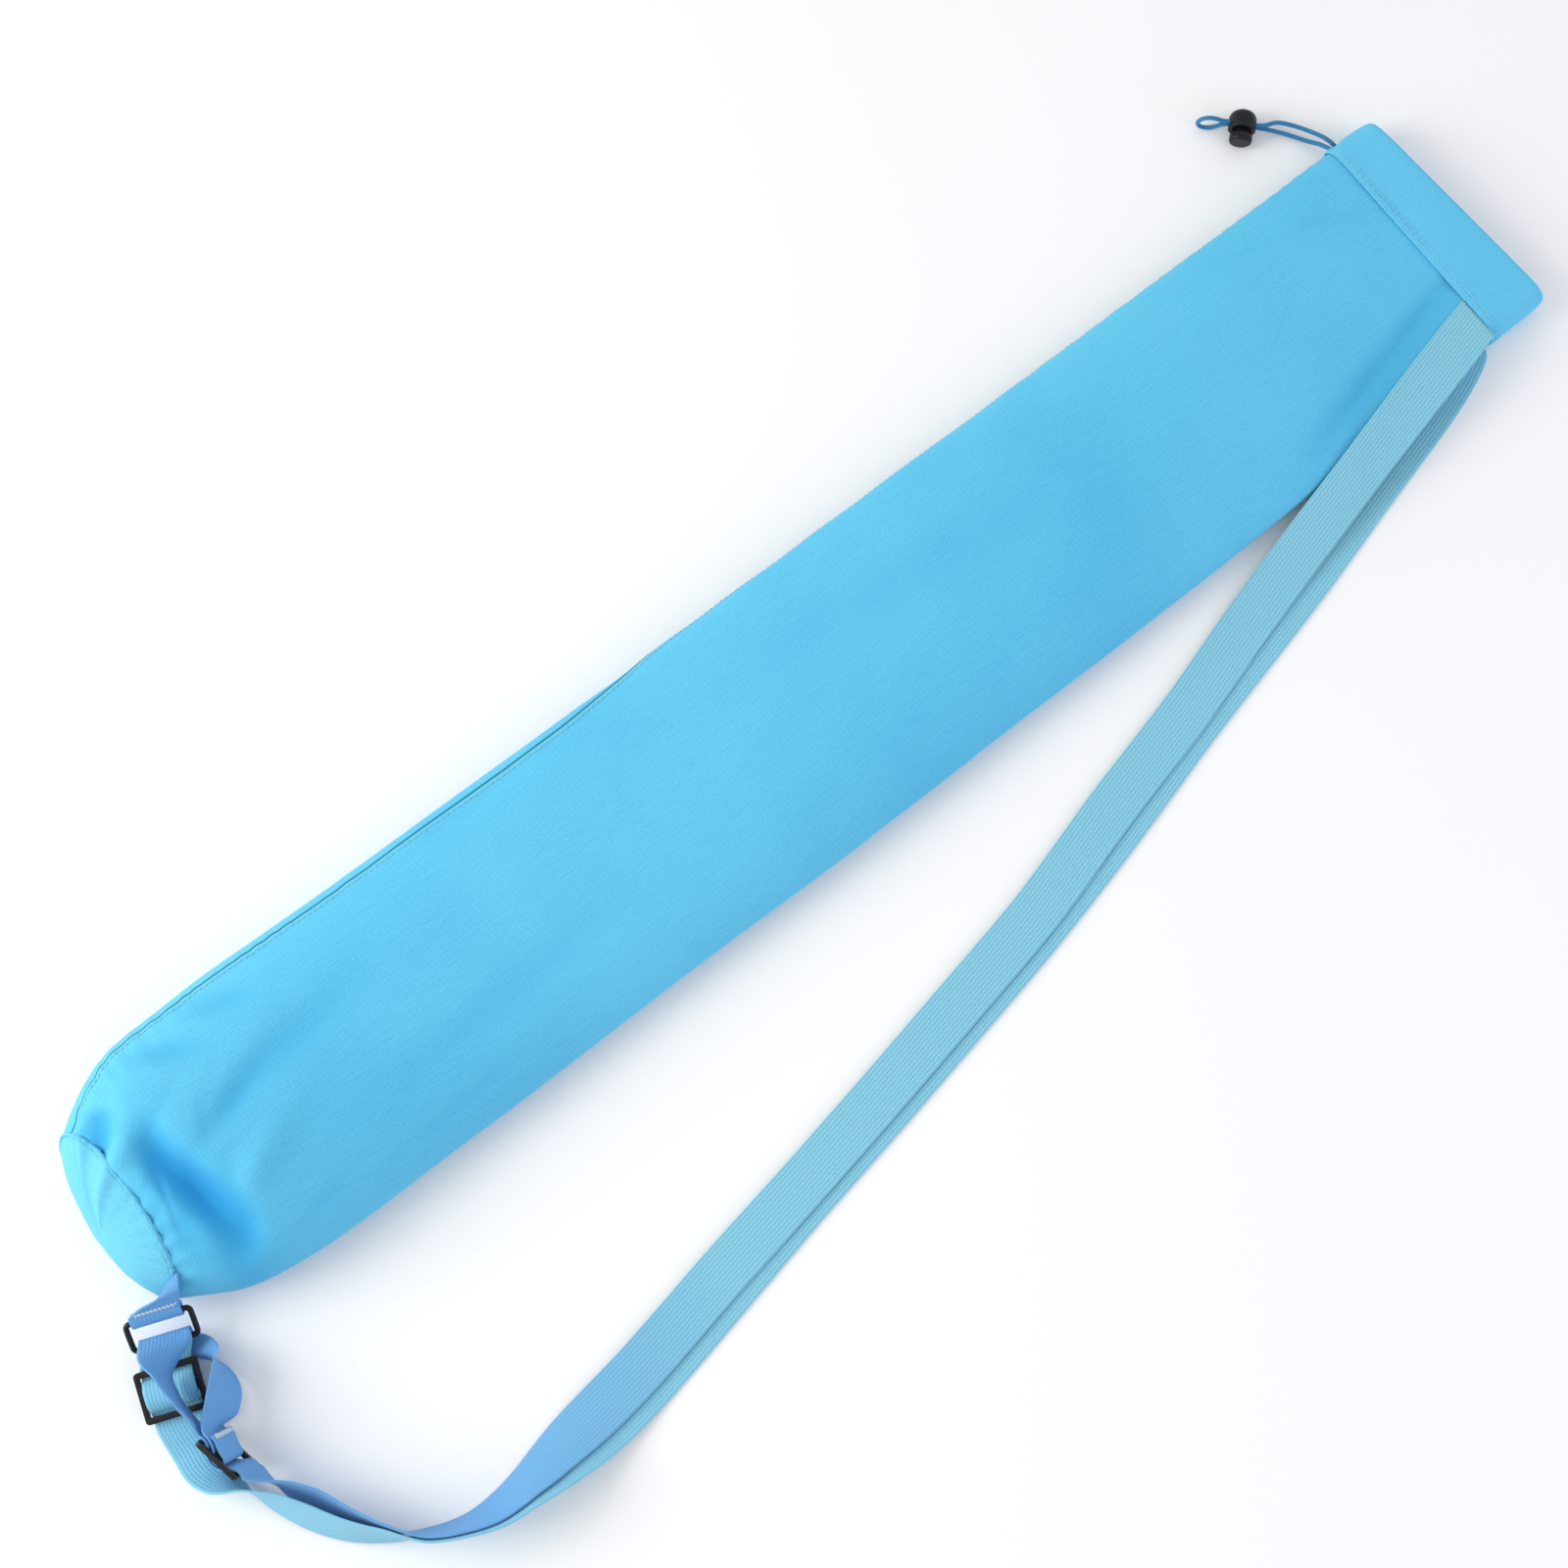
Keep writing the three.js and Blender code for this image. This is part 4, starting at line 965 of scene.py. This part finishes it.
class MATBAG_OT_base(bpy.types.Operator):
    """Builds the half collapsed round base and the seam round it."""

    bl_idname = "matbag.base"
    bl_label = "Base"

    half_steps = 72

    def execute(self, context):
        cloth = context.scene.matbag_cloth
        rings = base_rings(self.half_steps, 26, cloth.thickness / MM)
        rows, columns = rings.shape[:2]
        faces, _ = grid_faces(rows, columns)
        points = rings.reshape(-1, 3)
        flat = points[:, [1, 2]]
        uvs = [tuple(flat[v] for v in face) for face in faces]
        centre = len(points)
        points = np.vstack([points, rings[0].mean(0)])
        hub = points[centre, [1, 2]]
        for k in range(columns):
            face = (centre, (k + 1) % columns, k)
            faces.append(face)
            uvs.append((hub, flat[face[1]], flat[face[2]]))
        sheet = thicken(points, faces, uvs, cloth.thickness / MM)
        base = make_piece("cloth_base", *sheet, MATERIALS["base"], "base_cloth")
        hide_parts("base_panel")
        self.welt(rings[-1])
        return {"FINISHED"}

    def welt(self, rim):
        """The turned-in seam between tube and base, a soft ridge that puckers between its stitches."""
        count = len(rim)
        turn = 2 * np.pi * np.arange(count) / count
        middle = rim.mean(0)
        out = unit(rim - middle)
        line = rim + out * (WELT["out"] + WELT["sway"] * np.sin(11 * turn) * np.sin(3 * turn + 1))[:, None]
        line[:, 0] += WELT["along"]
        line[:, 2] = np.maximum(line[:, 2], WELT["lowest"])
        dense = smooth_line(np.vstack([line, line[:1]]), 3)[:-1]
        outward = unit(dense - middle)
        pucker = 1 + WELT["pucker"] * np.sin(np.arange(len(dense)) * 2 * np.pi / WELT["points"])
        welt = sweep(dense, circle(1, 12) * WELT["half"], outward, closed=True, scales=pucker)
        make_piece("base_welt", *welt, MATERIALS["base"], "base_cloth")


class MATBAG_OT_casing(bpy.types.Operator):
    """Builds the folded casing round the mouth, with the slit that the cord leaves through."""

    bl_idname = "matbag.casing"
    bl_label = "Casing"

    half_steps = 96
    row_steps = 4

    def execute(self, context):
        cloth = context.scene.matbag_cloth
        line, out = casing_line(self.half_steps)
        outer, inner = CASING_ROWS[:, [0, 1]], CASING_ROWS[::-1, [0, 2]]
        profile = smooth_line(np.vstack([outer, [CASING_FOLD], inner]), self.row_steps)
        rings = np.stack([casing_place(line, out, along, offset) for along, offset in profile])
        rows, columns = rings.shape[:2]
        x, y, z = np.moveaxis(rings / CASING_RIPPLE["pitch"], -1, 0)
        ripple = CASING_RIPPLE["height"] * wave_noise(y, x + z, SEED + 2)
        fade = ramp(profile[:, 0], *CASING_RIPPLE["fade"])[:, None]
        rings = rings + out[None] * (ripple * fade)[..., None]
        centres = (rings[:-1] + rings[1:] + np.roll(rings, -1, 1)[:-1] + np.roll(rings, -1, 1)[1:]) / 4
        is_outer = (np.arange(rows - 1) < (len(outer) - 1) * self.row_steps)[:, None]
        in_slit = (
            is_outer
            & (np.abs(centres[..., 0] - SLIT["x"]) < SLIT["width"] / 2)
            & (centres[..., 1] > line[:, 1].max() - SLIT["inset"])
            & (centres[..., 2] > SLIT["low"])
            & (centres[..., 2] < SLIT["high"])
        )
        faces, corners = grid_faces(rows, columns, keep=~in_slit)
        along = lengths_along(profile)
        around = lengths_along(np.vstack([line, line[:1]]))
        uvs = [tuple((along[r], around[c]) for r, c in quad) for quad in corners]
        sheet = thicken(rings.reshape(-1, 3), faces, uvs, cloth.thickness / MM)
        casing = make_piece("cloth_casing", *sheet, MATERIALS["casing"], "casing_cloth")
        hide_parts("drawcord_casing")
        for name, place in CASING_STITCH.items():
            offset = np.interp(place, CASING_ROWS[:, 0], CASING_ROWS[:, 1])
            seam = casing_place(line, out, place, offset)
            seam = np.vstack([seam, seam[:1]])
            normals = np.vstack([out, out[:1]])
            threads = stitch_row(
                seam, normals, cloth.stitch / MM, CASING_STITCH_GAP, cloth.thread / MM, CASING_STITCH_LIFT)
            make_piece(name, *threads, MATERIALS["thread"], "casing_cloth")
        return {"FINISHED"}


class MATBAG_OT_straps(bpy.types.Operator):
    """Weaves the two straps and the tab along their CAD ribbons."""

    bl_idname = "matbag.straps"
    bl_label = "Straps"

    def execute(self, context):
        web = context.scene.matbag_webbing
        profile = web_profile(web.width / MM, web.thickness / MM, web.selvedge / MM)
        for node, name, look, held in (
            ("front_strap", "front_webbing", "front_web", "laid"),
            ("back_strap", "back_webbing", "back_web", "laid"),
            ("strap_tab", "tab_webbing", "front_web", "folded"),
        ):
            centres, spans = strap_sections(node)
            fine = even_line(smooth_line(np.hstack([centres, spans]), 6), 1.5)
            length = lengths_along(fine[:, :3])[-1]
            strip = ribbon(fine[:, :3], fine[:, 3:], profile, web.width / MM)
            strap = make_piece(name, *strip, MATERIALS[look], "webbing")
            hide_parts(node)
            tacks = self.bar_tacks(fine, length, web.thickness / MM)
            make_piece(f"{name}_tacks", *tacks, MATERIALS["tack"], "webbing")
        return {"FINISHED"}

    def bar_tacks(self, fine, length, thickness):
        """Zigzag stitches where the folded end is sewn to the strap, on the outer face of both layers."""
        centres, spans = fine[:, :3], fine[:, 3:]
        along = lengths_along(centres)
        ahead = unit(np.gradient(centres, axis=0))
        end = int(np.searchsorted(along, length - TACK["from_end"]))
        earlier = along < length - min(TACK["fold"], length * TACK["fold_share"])
        start = int(np.argmin(np.where(earlier, np.linalg.norm(centres - centres[end], axis=1), np.inf)))
        parts = []
        for here, other in ((end, start), (start, end)):
            across = unit(spans[here])
            out = unit(np.cross(across, ahead[here]))
            if out @ (centres[here] - centres[other]) < 0:
                out = -out
            reach = np.linalg.norm(spans[here]) / 2 - TACK["from_edge"]
            steps = np.linspace(-reach, reach, 2 * round(reach) + 1)
            sway = np.where(np.arange(len(steps)) % 2, TACK["sway"], -TACK["sway"])
            line = centres[here] + steps[:, None] * across + sway[:, None] * ahead[here]
            thread = even_line(line + out * (thickness / 2 + TACK["lift"]), 2 * TACK["radius"])
            parts.append(sweep(thread, circle(TACK["radius"], 6), np.tile(out, (len(thread), 1))))
        return merged(parts)


class MATBAG_OT_sliders(bpy.types.Operator):
    """Moulds the two sliders and the ring with rounded edges."""

    bl_idname = "matbag.sliders"
    bl_label = "Sliders and ring"

    def execute(self, context):
        for node, name, edge in (
            ("front_slider", "moulded_front_slider", SLIDER_EDGE),
            ("back_slider", "moulded_back_slider", SLIDER_EDGE),
            ("strap_ring", "moulded_ring", 0),
        ):
            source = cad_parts[node]
            piece = bpy.data.objects.new(name, source.data.copy())
            context.scene.collection.objects.link(piece)
            select_only(piece)
            bpy.ops.mesh.customdata_custom_splitnormals_clear()
            bpy.ops.object.mode_set(mode="EDIT")
            bpy.ops.mesh.select_all(action="SELECT")
            bpy.ops.mesh.remove_doubles(threshold=0.00001)
            if edge:
                bpy.ops.mesh.dissolve_limited(angle_limit=math.radians(1))
                bpy.ops.mesh.select_all(action="DESELECT")
                bpy.ops.mesh.edges_select_sharp(sharpness=math.radians(EDGE_ANGLE))
                bpy.ops.mesh.bevel(offset=edge * MM, segments=3, affect="EDGES", clamp_overlap=True)
            else:
                bpy.ops.mesh.tris_convert_to_quads()
            bpy.ops.object.mode_set(mode="OBJECT")
            if not edge:
                round_off(piece, 2)
            finish_moulding(piece, node, "bag")
        return {"FINISHED"}


class MATBAG_OT_cord_lock(bpy.types.Operator):
    """Models the spring lock: a round-ended barrel, and a capped plunger that slides in its bore."""

    bl_idname = "matbag.cord_lock"
    bl_label = "Cord lock"

    def execute(self, context):
        barrel = self.turned("lock_barrel", LOCK["radius"], -LOCK["length"], 0)
        self.round_end(barrel, -LOCK["length"], LOCK["edge"], 7)
        self.round_end(barrel, 0, LOCK["rim_edge"], 3)
        self.sink(barrel, 0, LOCK["radius"] - LOCK["rim_edge"] - LOCK["bore"], -LOCK["bore_depth"])
        low = -LOCK["hole_at"] - LOCK["hole"] / 2
        self.cut_passage(barrel, low, -LOCK["hole_at"] + LOCK["hole"] / 2)
        finish_moulding(barrel, "cord_lock_barrel", "bag")
        cap_start = LOCK["rest"]
        cap_end = cap_start + LOCK["cap_length"]
        plunger = self.turned("lock_plunger_cap", LOCK["cap"], cap_start, cap_end)
        self.round_end(plunger, cap_end, LOCK["cap_edge"], 6)
        self.sink(plunger, cap_start, LOCK["cap"] - LOCK["stem"], -LOCK["stem_length"])
        self.round_end(plunger, cap_start, LOCK["cap_rim"], 3, LOCK["cap"])
        self.cut_passage(plunger, low, low + LOCK["hole"] + LOCK["travel"])
        finish_moulding(plunger, "cord_lock_plunger", "lock_plunger")
        return {"FINISHED"}

    def place(self, along):
        """The point on the lock's axis at a distance in millimetres from the barrel's rim."""
        return (LOCK_RIM + LOCK_AXIS * along) * MM

    def turned(self, name, radius, start, end):
        """A plain turned rod between two places on the axis."""
        bpy.ops.object.select_all(action="DESELECT")
        turn = LOCK_AXIS.to_track_quat("Z", "Y").to_euler()
        middle = self.place((start + end) / 2)
        bpy.ops.mesh.primitive_cylinder_add(
            vertices=56, radius=radius * MM, depth=(end - start) * MM, location=middle, rotation=turn)
        rod = bpy.context.object
        rod.name = name
        bpy.ops.object.transform_apply(location=True, rotation=True, scale=True)
        return rod

    def along(self, point):
        """Distance in millimetres of a point from the rim, along the axis."""
        return (point / MM - LOCK_RIM).dot(LOCK_AXIS)

    def pick(self, piece, test):
        """Edit mode on a piece with just the edges or faces selected that pass the test."""
        select_only(piece)
        mesh = piece.data
        for part in (*mesh.vertices, *mesh.edges, *mesh.polygons):
            part.select = False
        for part in test(mesh):
            part.select = True
        bpy.ops.object.mode_set(mode="EDIT")

    def round_end(self, piece, place, size, steps, radius=None):
        """Rounds off the rim at a place on the axis, or just the rim of the given radius there."""
        def rim(mesh):
            for edge in mesh.edges:
                ends = [mesh.vertices[v].co for v in edge.vertices]
                off = [(p / MM - LOCK_RIM - LOCK_AXIS * self.along(p)).length for p in ends]
                if all(abs(self.along(p) - place) < NEAR for p in ends):
                    if radius is None or all(abs(r - radius) < NEAR for r in off):
                        yield edge
        bpy.context.tool_settings.mesh_select_mode = (False, True, False)
        self.pick(piece, rim)
        bpy.ops.mesh.bevel(offset=size * MM, segments=steps, affect="EDGES", profile=0.5)
        bpy.ops.object.mode_set(mode="OBJECT")

    def sink(self, piece, place, inset, depth):
        """Insets the end face at a place on the axis and extrudes it along the axis by a signed depth."""
        def end(mesh):
            for face in mesh.polygons:
                if abs(self.along(face.center) - place) < NEAR and len(face.vertices) > 8:
                    yield face
        bpy.context.tool_settings.mesh_select_mode = (False, False, True)
        self.pick(piece, end)
        bpy.ops.mesh.inset(thickness=inset * MM)
        bpy.ops.mesh.extrude_region_move(TRANSFORM_OT_translate={"value": LOCK_AXIS * depth * MM})
        bpy.ops.object.mode_set(mode="OBJECT")

    def cut_passage(self, piece, start, end):
        """Cuts the cord's passage across the axis."""
        bpy.ops.object.select_all(action="DESELECT")
        turn = LOCK_AXIS.to_track_quat("X", "Z").to_euler()
        bpy.ops.mesh.primitive_cube_add(size=1, location=self.place((start + end) / 2), rotation=turn)
        cutter = bpy.context.object
        cutter.scale = ((end - start) * MM, 0.04, LOCK["hole_high"] * MM)
        bpy.ops.object.transform_apply(location=True, rotation=True, scale=True)
        select_only(piece)
        cut = piece.modifiers.new("Passage", "BOOLEAN")
        cut.operation = "DIFFERENCE"
        cut.object = cutter
        bpy.ops.object.modifier_apply(modifier=cut.name)
        bpy.data.objects.remove(cutter)
        soften = piece.modifiers.new("Edges", "BEVEL")
        soften.width = LOCK["soft"] * MM
        soften.segments = 2
        soften.limit_method = "ANGLE"
        soften.angle_limit = math.radians(EDGE_ANGLE)
        bpy.ops.object.modifier_apply(modifier=soften.name)


class MATBAG_OT_stage(bpy.types.Operator):
    """Lays the floor and sets the soft studio light."""

    bl_idname = "matbag.stage"
    bl_label = "Stage"

    def execute(self, context):
        settings = context.scene.matbag_stage
        bpy.ops.mesh.primitive_plane_add(size=FLOOR["size"], location=(0, 0, -FLOOR["drop"]))
        floor = context.object
        floor.name = "floor"
        material = bpy.data.materials.new("Floor")
        material.use_nodes = True
        shader = material.node_tree.nodes["Principled BSDF"]
        shader.inputs["Base Color"].default_value = (*settings.floor, 1)
        shader.inputs["Roughness"].default_value = 0.9
        floor.data.materials.append(material)
        world = bpy.data.worlds.new("Studio")
        world.use_nodes = True
        sky = world.node_tree.nodes["Background"]
        sky.inputs["Color"].default_value = SKY_COLOUR
        sky.inputs["Strength"].default_value = settings.sky
        context.scene.world = world
        self.light("Key", settings.key, *KEY_LIGHT)
        self.light("Fill", settings.fill, *FILL_LIGHT)
        context.scene.view_settings.view_transform = "Standard"
        return {"FINISHED"}

    def light(self, name, power, place, size, colour):
        """A square soft light that faces the bag."""
        data = bpy.data.lights.new(name, "AREA")
        data.size = size
        data.energy = power
        data.color = colour
        light = bpy.data.objects.new(name, data)
        light.location = place
        light.rotation_euler = (Vector(place) - LOOK_AT).to_track_quat("Z", "Y").to_euler()
        bpy.context.scene.collection.objects.link(light)


class MATBAG_PT_panel(bpy.types.Panel):
    """Sidebar panel with the bag's settings and building steps."""

    bl_idname = "MATBAG_PT_panel"
    bl_label = "Mat Bag"
    bl_space_type = "VIEW_3D"
    bl_region_type = "UI"
    bl_category = "Mat Bag"

    def draw(self, context):
        for name in ("matbag_cloth", "matbag_webbing", "matbag_stage"):
            settings = getattr(context.scene, name)
            box = self.layout.box()
            for key in type(settings).__annotations__:
                box.prop(settings, key)
        for step in STEPS:
            self.layout.operator(step.bl_idname)


STEPS = (
    MATBAG_OT_camera, MATBAG_OT_drawcord, MATBAG_OT_tube, MATBAG_OT_base, MATBAG_OT_casing,
    MATBAG_OT_straps, MATBAG_OT_sliders, MATBAG_OT_cord_lock, MATBAG_OT_stage,
)
SETTINGS = {"matbag_cloth": MatBagCloth, "matbag_webbing": MatBagWebbing, "matbag_stage": MatBagStage}
CLASSES = (*SETTINGS.values(), *STEPS, MATBAG_PT_panel)


def register():
    for cls in CLASSES:
        bpy.utils.register_class(cls)
    for name, settings in SETTINGS.items():
        setattr(bpy.types.Scene, name, bpy.props.PointerProperty(type=settings))


def unregister():
    for name in SETTINGS:
        delattr(bpy.types.Scene, name)
    for cls in reversed(CLASSES):
        bpy.utils.unregister_class(cls)


def main():
    register()
    make_materials()
    bpy.ops.matbag.camera()
    bpy.ops.matbag.drawcord()
    bpy.ops.matbag.tube()
    bpy.ops.matbag.base()
    bpy.ops.matbag.casing()
    bpy.ops.matbag.straps()
    bpy.ops.matbag.sliders()
    bpy.ops.matbag.cord_lock()
    bpy.ops.matbag.stage()


if __name__ == "__main__":
    main()
